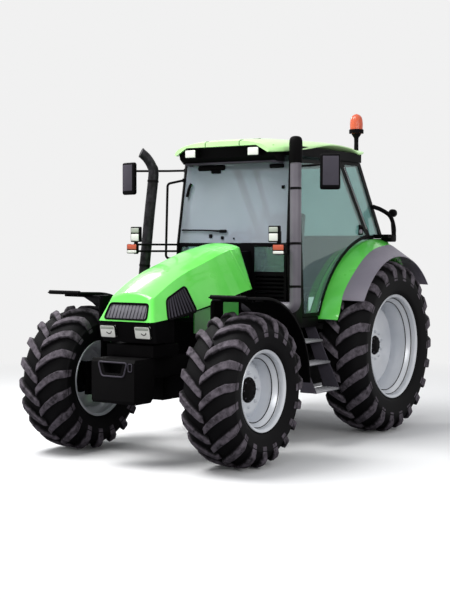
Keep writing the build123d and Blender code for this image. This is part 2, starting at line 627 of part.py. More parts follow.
def door_outline(shrink=0.0):
    """Left door: upright front edge, slanted rear edge and a lower edge along the mudguard."""
    room = 25.0
    low_x = CREST[0] + sqrt((CREST[2] + room) ** 2 - (SILL_Z + DOOR_GAP - CREST[1]) ** 2)
    rear_x = -1285.0
    points = [(DOOR_FRONT_X, SILL_Z + DOOR_GAP), (DOOR_FRONT_X, 2925), (-690, 2950)]
    count = 9
    for n in range(count + 1):
        t = n / count
        angle0 = atan2(on_arc(CREST, rear_x, room) - CREST[1], rear_x - CREST[0])
        angle1 = atan2(SILL_Z + DOOR_GAP - CREST[1], low_x - CREST[0])
        angle = angle0 + (angle1 - angle0) * t
        r = CREST[2] + room
        points.append((CREST[0] + r * cos(angle), CREST[1] + r * sin(angle)))
    return points


def barrel(low, high, radius):
    """Round bar on the left door's hinge line between two heights."""
    return rod((DOOR_FRONT_X, side_y(low), low), (DOOR_FRONT_X, side_y(high), high), radius)


def doors():
    whole = side_face(door_outline())
    hole = offset(whole, amount=-DOOR_RING, kind=Kind.INTERSECTION)
    frame = extrude(whole, amount=DOOR_T) - extrude(hole, amount=DOOR_T)
    pane = offset(whole, amount=-DOOR_RING - SEAT_GAP, kind=Kind.INTERSECTION)
    glass = extrude(pane, amount=GLASS_T + 6) - extrude(pane, amount=6)
    for z in DOOR_HINGES:
        frame -= barrel(z - DOOR_BARREL_H - 2, z, DOOR_BARREL_R + 1)
        frame += barrel(z, z + DOOR_BARREL_H, DOOR_BARREL_R)
        frame -= barrel(z - 1, z + DOOR_BARREL_H + 1, DOOR_PIN_R + RUN_GAP)
    save_pair("door_frame", frame)
    save_pair("door_glass", glass)


def front_posts():
    sections = []
    for z in (FLOOR_Z[1] + SEAT_GAP, SCREEN_FOOT_Z, POST_TOP_Z - SEAT_GAP):
        s, x = side_y(z), screen_x(z)
        edge = DOOR_FRONT_X + DOOR_GAP
        corners = [(edge, s), (x - 38, s), (x + 4, s - 40), (x + 4, s - 62), (x - 14, s - 62), (edge, s - 50)]
        sections.append(Plane((0, 0, z)) * flat(corners))
    post = loft(sections, ruled=True)
    for z in DOOR_HINGES:
        post -= barrel(z - SEAT_GAP, z + DOOR_BARREL_H + 2, DOOR_BARREL_R + 1)
        post += barrel(z - DOOR_BARREL_H, z - SEAT_GAP, DOOR_BARREL_R)
        post += barrel(z - DOOR_BARREL_H, z + DOOR_BARREL_H - 2, DOOR_PIN_R)
    save("cab_front_posts", *both(post))


def rear_x(z):
    """Rear face of the cab above its waist."""
    rise = (z - REAR_FOOT[1]) / (REAR_HEAD[1] - REAR_FOOT[1])
    return REAR_FOOT[0] + rise * (REAR_HEAD[0] - REAR_FOOT[0])


def rear_posts():
    """Slim B and C posts with the rail under the quarter window, left and right, and the rear cross rails."""
    top = POST_TOP_Z - SEAT_GAP
    foot = REAR_FOOT[1]
    door = door_outline()
    head, corner = door[2], door[3]
    slope = (head[0] - corner[0]) / (head[1] - corner[1])

    def b_x(z):
        return corner[0] + slope * (z - corner[1]) - DOOR_GAP

    ring = [(b_x(top), top), (b_x(foot), foot), (rear_x(foot), foot), (rear_x(top), top)]
    window = [(b_x(top - 35) - 46, top - 35), (b_x(foot + 32) - 46, foot + 32),
              (rear_x(foot + 32) + 62, foot + 32), (rear_x(top - 35) + 62, top - 35)]
    side = extrude(side_face(ring), amount=45) - extrude(side_face(window), amount=45)
    sides = both(side)
    w = side_y(foot) - 46
    low = box((rear_x(foot), rear_x(foot) + 50), (-w, w), (foot, foot + 32))
    w = side_y(top) - 47
    high = box((rear_x(top - 40), rear_x(top) + 60), (-w, w), (top - 40, top))
    save("cab_rear_posts", *(sides[0] + sides[1] + low + high).solids())
    pane = [(x, z) for x, z in window]
    face = offset(side_face(pane, 12), amount=-SEAT_GAP, kind=Kind.INTERSECTION)
    quarters = both(extrude(face, amount=GLASS_T))
    slope = atan2(REAR_HEAD[0] - REAR_FOOT[0], REAR_HEAD[1] - REAR_FOOT[1])
    start = foot + 32 + SEAT_GAP + 9 * sin(slope)
    plane = Plane(origin=(rear_x(start) + 2, 0, start), x_dir=(0, 1, 0), z_dir=(cos(slope), 0, -sin(slope)))
    length = (top - 40 - start - SEAT_GAP) / cos(slope)
    w0, w1 = side_y(foot) - 47, side_y(top) - 49
    pane = flat([(-w0, 0), (w0, 0), (w1, length), (-w1, length)])
    return [*quarters, extrude(plane.offset(4) * pane, amount=GLASS_T)]


def screen():
    lean = atan2(CAB_FRONT_X - SCREEN_HEAD[0], SCREEN_HEAD[1] - SCREEN_FOOT_Z)
    plane = Plane(origin=(CAB_FRONT_X, 0, SCREEN_FOOT_Z), x_dir=(0, 1, 0), z_dir=(cos(lean), 0, sin(lean)))
    length = (SCREEN_HEAD[1] - SCREEN_FOOT_Z) / cos(lean)
    w0, w1 = side_y(SCREEN_FOOT_Z) - 63, side_y(SCREEN_HEAD[1]) - 63
    pane = flat([(-w0, SEAT_GAP), (w0, SEAT_GAP), (w1, length), (-w1, length)])
    save("windscreen", extrude(plane.offset(-7) * pane, amount=GLASS_T))


def cab_body():
    w = CAB_HALF_W - 10
    riser_x = RISER_X
    floor = box((riser_x, CAB_FRONT_X), (-w, w), FLOOR_Z)
    low, high = PLATFORM_Z
    outline = [(CAB_REAR_X + 20, low), (riser_x - 40, low), (riser_x - 40, FLOOR_Z[0])]
    outline += [(riser_x + 10, FLOOR_Z[0]), (riser_x + 10, FLOOR_Z[1]), (riser_x, high), (CAB_REAR_X + 20, high)]
    platform = prism_y(outline, (-WELL_Y[0] + SEAT_GAP, WELL_Y[0] - SEAT_GAP))
    floor += platform
    for sill in both(box((riser_x, DOOR_FRONT_X), (w - 60, w), (FLOOR_Z[1] - 1, SILL_Z))):
        floor += sill
    axle_top = REAR_TYRE_R + TRUMPET_R + SEAT_GAP
    for rear in both(box((REAR_AXLE_X - 50, REAR_AXLE_X + 50), (400, 500), (axle_top, PLATFORM_Z[0] + 1))):
        floor += rear
    for front in both(box((150, 250), (100, 180), (1055, FLOOR_Z[0] + 1))):
        floor += front
    save("cab_floor", floor)

    count = 12
    top = []
    for n in range(count + 1):
        x = CAB_REAR_X + (riser_x - 40 - CAB_REAR_X) * n / count
        top.append((x, on_arc(CREST, x)))
    low = [(riser_x - 45, FLOOR_Z[0]), (riser_x - 90, FLOOR_Z[0]), (riser_x - 490, PLATFORM_Z[0] - 40)]
    wall = prism_y(top + low + [(CAB_REAR_X, PLATFORM_Z[0] - 40)], WELL_Y)
    back = box((CAB_REAR_X, CAB_REAR_X + 18), (-WELL_Y[0] + SEAT_GAP, WELL_Y[0] - SEAT_GAP),
               (PLATFORM_Z[1] + SEAT_GAP, REAR_FOOT[1] - SEAT_GAP))
    save("cab_lower_walls", *both(wall), back)

    s = side_y(SCREEN_FOOT_Z) - 63
    front = box((CAB_FRONT_X - 14, CAB_FRONT_X), (-s, s), (FLOOR_Z[1] + SEAT_GAP, SCREEN_FOOT_Z - 2))
    panes = []
    for side in (1, -1):
        y = sorted((side * 285, side * 640))
        front -= box((CAB_FRONT_X - 20, CAB_FRONT_X + 5), y, (1775, 2030))
        y = (y[0] + SEAT_GAP, y[1] - SEAT_GAP)
        panes.append(box((CAB_FRONT_X - 10, CAB_FRONT_X - 5), y, (1775 + SEAT_GAP, 2030 - SEAT_GAP)))
        for n in range(6):
            y = sorted((side * 285, side * 640))
            front -= box((CAB_FRONT_X - 20, CAB_FRONT_X + 5), y, (1500 + 42 * n, 1522 + 42 * n))
    save("cab_windows", *panes, *rear_posts())

    cowl = prism_y([(CAB_FRONT_X + SEAT_GAP, 1330), (CAB_FRONT_X + SEAT_GAP, 1985), (740, 1965), (740, 1920),
                    (600, 1880), (600, 1330)], (-240, 240))
    arm = prism_y([(730, HINGE_Z - 52), (HINGE_X + 10, HINGE_Z - 22), (HINGE_X + 16, HINGE_Z - 10),
                   (HINGE_X + 16, HINGE_Z + 14), (HINGE_X - 14, HINGE_Z + 14), (HINGE_X - 34, HINGE_Z - 14),
                   (730, HINGE_Z - 22)], (HINGE_Y, HINGE_Y + 15))
    arm -= rod_y(HINGE_X, HINGE_Z, HINGE_PIN_R + RUN_GAP, (HINGE_Y - 5, HINGE_Y + 20))
    for lug in both(arm):
        cowl += lug
    save("cab_front_wall", front, cowl)


def roof():
    w = side_y(POST_TOP_Z)
    front, back = SCREEN_HEAD[0], REAR_HEAD[0]
    half = [(front + 4, w - 62), (front - 40, w), (back + 20, w), (back, w - 20)]
    plan = half + [(x, -y) for x, y in half[::-1]]
    frame = prism_z(plan, (POST_TOP_Z, ROOF_FRAME_Z))
    x = SCREEN_HEAD[0] + 4 + SEAT_GAP
    visor = [(x, 2904), (450, 2900), (575, 2975), (585, 3020), (x, ROOF_FRAME_Z - SEAT_GAP)]
    visor = prism_y(visor, (-590, 590))
    save("roof_frame", frame, visor)
    under = [(600, 2992), (123, 3023), (-402, 3100), (-850, 3088), (-1037, 3045), (-1251, 3081)]
    above = [(-1290, 3092), (-1290, 3106), (-1200, 3135), (-500, 3166), (200, 3155), (480, 3118), (605, 3040)]
    side = prism_y(under + above, (-900, 900))
    half = [(610, 560), (560, 612), (300, 712), (-300, 738), (-1050, 738), (-1200, 705), (-1290, 560)]
    plan = prism_z(half + [(x, -y) for x, y in half[::-1]], (2900, 3300))
    arch = [(740, 2900), (740, 3090), (690, 3128), (400, 3155), (0, 3170)]
    cross = prism_x(arch + [(-y, z) for y, z in arch[-2::-1]], (-1400, 700))
    cap = side & plan & cross
    half = [(608, 592), (front + 6, 592), (front + 6, w - 60), (front - 39, w + 2), (back - 2, w + 2)]
    cap -= prism_z(half + [(x, -y) for x, y in half[::-1]], (2900, ROOF_FRAME_Z))
    save("roof_cap", cap)
    dome = revolve(Plane.XZ * flat([(0, 0), (82, 0), (82, 130), (60, 200), (0, 220)]), axis=Axis.Z)
    save("beacon_lens", Pos(-1220, 600, 3300 + SEAT_GAP) * dome)


# ---- Rear mudguards ----
def ray_r(circle, angle):
    """Distance from the rear axle to a circle along a ray."""
    cx, cz, r = circle
    dx, dz = REAR_AXLE_X - cx, REAR_TYRE_R - cz
    b = dx * cos(angle) + dz * sin(angle)
    return -b + sqrt(b * b - dx * dx - dz * dz + r * r)


def guard_section(points, angle):
    """Face of (y, radius) points in the plane through the rear axle at an angle."""
    plane = Plane(origin=(REAR_AXLE_X, 0, REAR_TYRE_R), x_dir=(0, 1, 0), z_dir=(sin(angle), 0, -cos(angle)))
    return plane * flat(points)


def rear_guards():
    least = REAR_TYRE_R + TYRE_ROOM
    t = REAR_GUARD_T
    painted, flare = [], []
    for deg in (19, 32, 45, 58, 71, 84, 97, 108, 116, 124, 132, 138):
        a = radians(deg)
        crest = min(ray_r(CREST, a), REAR_TYRE_R + TAIL_ROOM[0] - 12 * (deg - 116))
        edge = max(min(ray_r(OUTER, a), REAR_TYRE_R + TAIL_ROOM[1] - 6 * (deg - 110)), least + 12)
        y0 = WELL_Y[1] + SEAT_GAP
        over = [(y0, crest), (GUARD_SIDE_Y, crest), (GUARD_EDGE_Y, edge)]
        painted.append(guard_section(over + [(y, r - t) for y, r in over[::-1]], a))
        if deg > 20:
            over = [(GUARD_EDGE_Y + SEAT_GAP, edge), (FLARE_EDGE_Y, least)]
            flare.append(guard_section(over + [(y, r - t) for y, r in over[::-1]], a))
    save("rear_guards", *both(loft(painted)))
    save("guard_flares", *both(loft(flare)))


# ---- Rear linkage ----
def linkage():
    px, pz = LINK_PIVOT
    end_x = -HALF_LENGTH + LINK_EYE_R
    rod_x = px - ARM_L
    y0, y1 = 270.0, BALL_Y
    line = [(px, y0), (rod_x + 75, ROD_Y), (rod_x - 75, ROD_Y), (end_x, y1)]
    edges = [(x, y + 15) for x, y in line] + [(x, y - 15) for x, y in reversed(line)]
    bar = prism_z(edges, (pz - 30, pz + 30))
    bar += rod_y(px, pz, 42, (y0 - 15, y0 + 15))
    bar += rod_y(end_x, pz, LINK_EYE_R, (y1 - 22, y1 + 22))
    bar -= rod_y(px, pz, LINK_PIN_R + RUN_GAP, (y0 - 40, y0 + 40))
    bar -= rod_y(end_x, pz, BALL_BORE_R, (y1 - 40, y1 + 40))
    bar -= rod_y(rod_x, pz, ROD_PIN_R + RUN_GAP, (ROD_Y - 40, ROD_Y + 40))
    save("lower_links", *both(bar))

    px, pz = ARM_PIVOT
    tip = px - ARM_L
    arm = prism_y([(px, pz - 70), (tip, pz - 30), (tip, pz + 30), (px, pz + 70)], (ROD_Y - 15, ROD_Y + 15))
    arm += rod_y(px, pz, 70, (ROD_Y - 15, ROD_Y + 15)) + rod_y(tip, pz, 30, (ROD_Y - 15, ROD_Y + 15))
    arm -= rod_y(px, pz, ARM_SHAFT_R + RUN_GAP, (ROD_Y - 40, ROD_Y + 40))
    arm -= rod_y(tip, pz, ROD_PIN_R + RUN_GAP, (ROD_Y - 40, ROD_Y + 40))
    save("lift_arms", *both(arm))

    low, high = LINK_PIVOT[1], ARM_PIVOT[1]
    shank = CLEVIS_REACH[1] - 5
    lift = rod((tip, ROD_Y, low + shank), (tip, ROD_Y, high - shank), 18)
    for z, sign in ((low, 1), (high, -1)):
        bridge = sorted(z + sign * reach for reach in CLEVIS_REACH)
        lift += box((tip - 24, tip + 24), (ROD_Y - 30, ROD_Y + 30), bridge)
        for y in ((ROD_Y - 30, ROD_Y - 20), (ROD_Y + 20, ROD_Y + 30)):
            ear = sorted((z - sign * 24, z + sign * (CLEVIS_REACH[0] + 5)))
            lift += box((tip - 24, tip + 24), y, ear)
        lift += rod_y(tip, z, ROD_PIN_R, (ROD_Y - 30, ROD_Y + 30))
    save("lift_rods", *both(lift))

    x = HOUSING_X[0]
    bar = box((x - 430, -950), (-40, 40), (400, 440))
    bar -= rod((x - 380, 0, 399), (x - 380, 0, 441), 16)
    bar += box((-1000, -950), (-60, 60), (438, HOUSING_Z[0] + 1))
    bar += box((-1330, -1280), (-60, 60), (438, HOUSING_Z[0] + 1))
    bar -= box((-1400, -900), (-100, 100), (HOUSING_Z[0] - SEAT_GAP, 500))
    stub = rod((x - SEAT_GAP, 0, 700), (x - 26, 0, 700), 45) + rod((x - 26, 0, 700), (x - 102, 0, 700), PTO_R)
    ears = Part()
    ear = [(x - SEAT_GAP, 960), (x - 70, 1000), (x - 95, 1040), (x - 70, 1080), (x - SEAT_GAP, 1120)]
    for y in ((-45, -30), (30, 45)):
        ears += prism_y(ear, y)
    ears += box((x - 14, x - SEAT_GAP), (-60, 60), (960, 1120))
    save("hitch_fittings", bar, stub, ears - rod_y(x - 58, 1040, 12.7, (-60, 60)))


# ---- Outside fittings ----
def fittings():
    intake = rod((520, 850, 1420), (450, 805, 2860), 58)
    intake += rod((520, 240 + SEAT_GAP, 1420), (520, 850, 1420), 52) + Pos(520, 850, 1420) * Sphere(58)
    intake += rod((450, 805, 2859), (436, 796, 3140), 68)
    save("intake_stack", intake)
    pipe = rod((700, -312 - SEAT_GAP, 1480), (700, -950, 1480), 50) + Pos(700, -950, 1480) * Sphere(57)
    pipe += rod((700, -950, 1480), (650, -830, 2820), 57) + Pos(650, -830, 2820) * Sphere(57)
    pipe += rod((650, -830, 2820), (690, -865, 2930), 54) + Pos(690, -865, 2930) * Sphere(54)
    pipe += rod((690, -865, 2930), (770, -935, 3040), 54)
    save("exhaust_stack", pipe)

    s = side_y(2830) + SEAT_GAP
    front = CAB_FRONT_X + 4 + SEAT_GAP
    low = side_y(SCREEN_FOOT_Z)
    arm = box((876, 896), (860, 900), (1950, 2180))
    arm += box((front, front + 12), (low - 61, low - 41), (1955, 2075))
    for z in (1980, 2050):
        arm += rod((front + 6, low - 52, z), (880, 880, z), 11)
    mirror_arm = tube([(252, s + 4, 2850), (300, 900, 2850), (500, 1262, 2850), (500, 1262, 2700)], 12, 50)
    mirror_arm += box((240, 264), (s, s + 10), (2830, 2870)) + box((490, 513), (1240, 1284), (2690, 2790))
    pod = box((-1638, -1430), (side_y(2130) + SEAT_GAP, 900), (2130, 2168))
    strut = tube([(-1590, 880, 2160), (-1570, 870, 2400), (-1395, side_y(2480) + 14, 2480)], 13, 60)
    strut += box((-1412, -1380), (side_y(2465) + SEAT_GAP, side_y(2465) + 22), (2465, 2495))
    lamp_foot = box((-1600, -1560), (850, 890), (2385, 2415))
    rail = tube([(front + 14, low - 52, 1900), (470, 800, 1900), (480, 770, 2700), (338, 664, 2740)], 13, 40)
    rail += box((front, front + 20), (low - 65, low - 41), (1880, 1920))
    rail += box((screen_x(2720) + 4 + SEAT_GAP, 345), (650, 672), (2720, 2760))
    right_rail = mirror(rail, about=Plane.XZ)
    stalk = rod((-1220, 600, 3135 + SEAT_GAP), (-1220, 600, 3300), 22)
    save("fitting_arms", *both(arm), *both(mirror_arm), *both(pod + strut + lamp_foot), right_rail, stalk)

    lamp = box((896 + SEAT_GAP, 950), (790, 910), (2075, 2235))
    rear_lamp = box((-1640, -1600 - SEAT_GAP), (820, 920), (2370, 2460))
    roof_lamp = box((583.3 + SEAT_GAP, 608), (312, 467), (2950, 3012))
    save("work_lamps", *both(lamp), *both(rear_lamp), *both(roof_lamp))
    marker = box((896 + SEAT_GAP, 940), (830, 970), (1955, 2055))
    save("indicators", *both(marker))
    head = fillet(box((513 + SEAT_GAP, 580), (1172, 1350), (2590, 2940)).edges().filter_by(Axis.X), 30)
    save("mirrors", *both(head))


def steps():
    treads = [(1070, 640), (850, 730), (580, 830)]
    unit = Part()
    back = RISER_X + 15
    top = FLOOR_Z[0] - SEAT_GAP
    for x in ((back, back + 12), (388, 400)):
        unit += prism_x([(600, top), (730, top), (1030, 560), (850, 560)], x)
    for z, y in treads:
        unit += box((back + 5, 395), (y, y + 190), (z - 24, z))
    save("steps", *both(unit))
    tank = box((-60, 390), (HOUSING_HALF_W + SEAT_GAP, 580), (560, 1150))
    tank = fillet(tank.edges().filter_by(Axis.X), 50)
    battery = mirror(box((-60, 390), (HOUSING_HALF_W + SEAT_GAP, 560), (700, 1150)), about=Plane.XZ)
    save("side_tanks", tank, battery)


def interior():
    base = box((-700, -360), (-180, 180), (PLATFORM_Z[1] + SEAT_GAP, 1700))
    cushion = box((-720, -250), (-240, 240), (1700 + SEAT_GAP, 1820))
    top = 1820 + SEAT_GAP
    back = prism_y([(-720, top), (-600, top), (-700, 2420), (-790, 2420)], (-230, 230))
    save("seat", cushion + back)
    front, low = CAB_FRONT_X - 14 - SEAT_GAP, FLOOR_Z[1] + SEAT_GAP
    dash = [(front, low), (front, 2050), (180, 1990), (150, 1850), (250, 1700), (250, low)]
    dash = prism_y(dash, (-200, 200))
    column = rod((200, 0, 1880), (76.7, 0, 2054.66), 32)
    axis = Vector(-120, 0, 170)
    place = Plane(origin=(75, 0, 2060), z_dir=axis)
    wheel = place * Torus(200, 15)
    hub = extrude(place * Circle(45), amount=20)
    for deg in (90, 210, 330):
        spoke = Rot(0, 0, deg) * Pos(110, 0, 0) * Box(190, 26, 14)
        wheel += place * Pos(0, 0, 2) * spoke
    save("dash", dash + column, wheel + hub)
    console = box((-650, -130), (-560, -330), (PLATFORM_Z[1] + SEAT_GAP, 1800))
    save("seat_base", base, console)


wheels()
front_axle()
knuckle()
tie_rod()
front_guard()
driveline()
side_panels()
bonnet()
doors()
front_posts()
screen()
cab_body()
roof()
rear_guards()
linkage()
fittings()
steps()
interior()
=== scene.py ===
# %% [markdown]
# # A green four-wheel-drive farm tractor
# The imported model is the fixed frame: it has every wheel, door and link in its real place.
# This lesson dresses it. It gives each surface its finish, and puts tyres, rims, glass, lamps
# and trim over the plain solids, each riding on the body that carries it.

# %% Load the frame
import json
import math

import bmesh
import bpy
import numpy as np
from mathutils import Matrix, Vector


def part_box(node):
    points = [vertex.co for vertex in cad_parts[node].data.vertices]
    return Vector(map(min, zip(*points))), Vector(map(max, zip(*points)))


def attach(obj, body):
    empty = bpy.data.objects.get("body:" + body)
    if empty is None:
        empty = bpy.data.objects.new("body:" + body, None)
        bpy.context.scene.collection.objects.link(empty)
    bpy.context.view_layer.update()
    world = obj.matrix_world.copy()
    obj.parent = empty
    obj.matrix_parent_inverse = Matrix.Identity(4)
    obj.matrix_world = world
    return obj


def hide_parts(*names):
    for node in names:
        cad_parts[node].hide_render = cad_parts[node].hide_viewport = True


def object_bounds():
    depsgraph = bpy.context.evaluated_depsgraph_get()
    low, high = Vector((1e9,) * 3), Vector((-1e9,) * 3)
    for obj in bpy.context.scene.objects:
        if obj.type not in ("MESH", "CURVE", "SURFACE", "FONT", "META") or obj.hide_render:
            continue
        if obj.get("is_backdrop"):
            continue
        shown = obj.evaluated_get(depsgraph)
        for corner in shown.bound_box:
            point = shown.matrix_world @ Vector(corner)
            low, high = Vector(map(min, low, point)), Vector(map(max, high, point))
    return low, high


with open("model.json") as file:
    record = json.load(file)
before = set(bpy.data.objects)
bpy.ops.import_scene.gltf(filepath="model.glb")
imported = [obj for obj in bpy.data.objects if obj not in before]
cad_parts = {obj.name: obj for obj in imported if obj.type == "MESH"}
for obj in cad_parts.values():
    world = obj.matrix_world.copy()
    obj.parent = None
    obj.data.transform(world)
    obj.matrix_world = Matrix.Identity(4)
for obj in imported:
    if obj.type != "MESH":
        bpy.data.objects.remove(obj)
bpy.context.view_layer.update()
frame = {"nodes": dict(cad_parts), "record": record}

# %% [markdown]
# ## Camera and light
# A lens of 73 mm from about 13 m away keeps the wheels from looking stretched. The object is
# lit as in a studio: a pale world for the shadows, one large soft lamp above and ahead, a weaker
# one on the tractor's left, and a faint one behind its right side that edges the roof. Large
# lamps were chosen because small ones make hard spots on paint.


# %% Camera
def aim(thing, place, towards, roll=0.0):
    """Put a camera or lamp at a place, looking along a direction, turned by a roll in radians."""
    forward = np.array(towards, float)
    forward /= np.linalg.norm(forward)
    right = np.cross(forward, (0, 0, 1))
    right /= np.linalg.norm(right)
    up = np.cross(right, forward)
    right, up = (right * math.cos(roll) + up * math.sin(roll),
                 up * math.cos(roll) - right * math.sin(roll))
    turn = np.eye(4)
    turn[:3, 0], turn[:3, 1], turn[:3, 2], turn[:3, 3] = right, up, -forward, place
    thing.matrix_world = Matrix(turn.tolist())


scene = bpy.context.scene
camera = bpy.data.objects.new("camera", bpy.data.cameras.new("camera"))
scene.collection.objects.link(camera)
camera.data.lens, camera.data.sensor_width = 73.04, 36.0
aim(camera, (10.981, 7.054, 2.042), (-0.82837, -0.55839, -0.04474), math.radians(0.158))
scene.camera = camera
scene.view_settings.view_transform = "Standard"


# %% Lamps
def soft_lamp(name, place, size, watts):
    """A square area lamp that looks at the middle of the tractor."""
    lamp = bpy.data.objects.new(name, bpy.data.lights.new(name, "AREA"))
    scene.collection.objects.link(lamp)
    lamp.data.size, lamp.data.energy = size, watts
    aim(lamp, place, np.array((0.2, 0, 1.2)) - np.array(place))
    return lamp


soft_lamp("lamp_above", (4.0, -2.5, 9.0), 5.0, 900)
soft_lamp("lamp_left", (5.5, 8.5, 4.5), 4.0, 260)
soft_lamp("lamp_behind", (-1.4, -4.4, 6.0), 1.6, 110)
print("camera at", [round(v, 2) for v in camera.location])

# %% [markdown]
# ## Node helpers
# Every finish below is a small graph of nodes. One function adds a node, sets its values and
# links its inputs, so a finish reads from top to bottom. Colours are written as the sRGB hex
# values that a paint chart gives, and one function turns them into linear light.


# %% One function to add a node, one to read a colour
def linear(hex_colour):
    """sRGB hex to linear RGBA: a straight part below 0.04045, a 2.4 power above it."""
    srgb = np.array([int(hex_colour[n:n + 2], 16) / 255 for n in (1, 3, 5)])
    light = np.where(srgb <= 0.04045, srgb / 12.92, ((srgb + 0.055) / 1.055) ** 2.4)
    return (*light, 1.0)


def add(tree, kind, inputs=None, **settings):
    """Add a node with its settings, values and links; a node given as a value links its first output."""
    made = tree.nodes.new("ShaderNode" + kind)
    for key, value in settings.items():
        setattr(made, key, value)
    for socket, value in (inputs or {}).items():
        if isinstance(value, bpy.types.Node):
            value = value.outputs[0]
        if isinstance(value, bpy.types.NodeSocket):
            tree.links.new(value, made.inputs[socket])
        else:
            made.inputs[socket].default_value = value
    return made


def start_finish(name):
    """An empty material: its tree, and the point in object space that patterns are read at."""
    material = bpy.data.materials.new(name)
    material.use_nodes = True
    tree = material.node_tree
    tree.nodes.clear()
    place = add(tree, "TexCoord").outputs["Object"]
    return material, tree, place


# %% [markdown]
# ## The plain finishes
# Most of the tractor is painted steel and moulded plastic. Sprayed enamel is never one colour:
# it drifts slightly over half a metre, and its skin has a faint orange peel. Moulded plastic has
# a spark-eroded grain, and cast iron the roughness of its sand mould. These differ only in
# scale and depth, so one function mixes them from real sizes in millimetres.


# %% Painted, moulded and cast finishes
def plain_finish(name, pale, deep, rough, grain_mm, lift_mm, drift_mm=450, coat=0.0, gloss=0.5, metal=0.0):
    """Two close colours drift over drift_mm; a grain of grain_mm lifts the skin by lift_mm."""
    material, tree, place = start_finish(name)
    drift = add(tree, "TexNoise", {"Vector": place, "Scale": 1000 / drift_mm, "Detail": 3.0})
    spread = add(tree, "MapRange", {"Value": drift, "From Min": 0.35, "From Max": 0.65})
    colour = add(tree, "MixRGB", {"Fac": spread, "Color1": linear(pale), "Color2": linear(deep)})
    grain = add(tree, "TexNoise", {"Vector": place, "Scale": 1000 / grain_mm, "Detail": 2.0})
    sheen = add(tree, "MapRange", {"Value": drift, "From Min": 0.3, "From Max": 0.7, "To Min": rough * 0.85,
                                   "To Max": min(1.0, rough * 1.15)})
    skin = add(tree, "Bump", {"Height": grain, "Distance": lift_mm / 1000, "Strength": 0.6})
    body = add(tree, "BsdfPrincipled", {"Base Color": colour, "Roughness": sheen, "Normal": skin,
                                        "Coat Weight": coat, "Specular IOR Level": gloss, "Metallic": metal})
    add(tree, "OutputMaterial", {"Surface": body})
    return material


finishes = {
    # Two-pack enamel on pressed steel: glossy, with a clear skin
    "green_paint": plain_finish("green_enamel", "#78F266", "#62E650", 0.3, 4, 0.2, coat=0.5),
    "dark_green_paint": plain_finish("dark_green_enamel", "#46A544", "#3A963A", 0.35, 4, 0.2, coat=0.3),
    # Sprayed glass fibre, duller than the bonnet
    "roof_paint": plain_finish("roof_gelcoat", "#C9F3AE", "#B6EE9C", 0.38, 5, 0.2, coat=0.3),
    # Powder-coated frame steel, moulded panels and painted castings: nearly black, with little shine
    "black_frame": plain_finish("black_powder_coat", "#080708", "#050405", 0.5, 3, 0.3, gloss=0.08),
    "black_plastic": plain_finish("black_polypropylene", "#070608", "#040304", 0.6, 5, 0.4, gloss=0.06),
    "cast_black": plain_finish("black_painted_casting", "#080708", "#050405", 0.65, 9, 1.2, gloss=0.08),
    # Grey mudguard flares, and black bars and lips that have greyed in the sun
    "grey_plastic": plain_finish("grey_polypropylene", "#86808C", "#7C7682", 0.55, 5, 0.4),
    # On the mirror backs this grey is a painted highlight
    "slat_grey": plain_finish("greyed_polypropylene", "#4A464F", "#3E3B43", 0.55, 5, 0.4, gloss=0.15),
    "nose_grey": plain_finish("grey_grille_moulding", "#65636A", "#5A585F", 0.5, 5, 0.4),
    # Ribbed lens that is milky towards its top
    "lens_grey": plain_finish("milky_lens", "#AEB4A8", "#9DA498", 0.3, 6, 0.5),
    "mirror_silver": plain_finish("silvered_glass", "#C8CCD2", "#C0C4CC", 0.05, 30, 0.02, metal=1.0),
    # Perforated sheet, burnt dark, and the air pipe's sprayed steel
    "heat_guard": plain_finish("perforated_heat_guard", "#2A282C", "#0C0B0D", 0.5, 24, 4.0, 60, gloss=0.15),
    "pipe_grey": plain_finish("dark_grey_pipe_paint", "#6B666E", "#57535B", 0.5, 6, 0.3),
    "rim_silver": plain_finish("silver_wheel_enamel", "#E2E4E8", "#D2D6DC", 0.32, 5, 0.2, coat=0.3,
                               metal=0.15),
    "bare_steel": plain_finish("rolled_aluminium", "#B9B9BC", "#A6A6AA", 0.4, 6, 0.3, metal=0.6),
    "seat_fabric": plain_finish("seat_cloth", "#2B2A2E", "#222125", 0.9, 4, 0.5),
    # Plain rubber for the solids: the tyres drawn below bring a finer one
    "tyre_rubber": plain_finish("tyre_rubber", "#1C1A1D", "#141215", 0.7, 7, 0.6),
}


# %% [markdown]
# ## Glass and lenses
# Cab glass is 5 mm toughened glass, tinted in the mass: green-grey at the sides, bluer ahead.
# A shader that lets light through with little bending was chosen, because the panes are flat.


# %% Glass
def glass_finish(name, pale, deep, rough, through):
    """Tinted glass or lens plastic: its tint drifts slightly; through is the share of light let past."""
    material, tree, place = start_finish(name)
    drift = add(tree, "TexNoise", {"Vector": place, "Scale": 2.2, "Detail": 1.0})
    colour = add(tree, "MixRGB", {"Fac": drift, "Color1": linear(pale), "Color2": linear(deep)})
    body = add(tree, "BsdfPrincipled", {"Base Color": colour, "Roughness": rough, "IOR": 1.45,
                                        "Transmission Weight": through})
    add(tree, "OutputMaterial", {"Surface": body})
    return material


finishes["tinted_glass"] = glass_finish("side_glass", "#A9C9C7", "#B9D8D5", 0.03, 0.86)
screen_glass = glass_finish("windscreen_glass", "#A9B2BE", "#BCC2CC", 0.04, 0.5)
finishes["lamp_glass"] = glass_finish("lamp_glass", "#FBFBF6", "#F1F2E8", 0.15, 0.15)
finishes["orange_lens"] = glass_finish("orange_polycarbonate", "#E0603F", "#D9694A", 0.2, 0.25)

for part in frame["record"]["subparts"]:
    holder = frame["nodes"][part["node"]]
    holder.data.materials.clear()
    holder.data.materials.append(finishes[part["material_slot"]])
frame["nodes"]["windscreen"].data.materials[0] = screen_glass
print("finishes:", len(finishes))

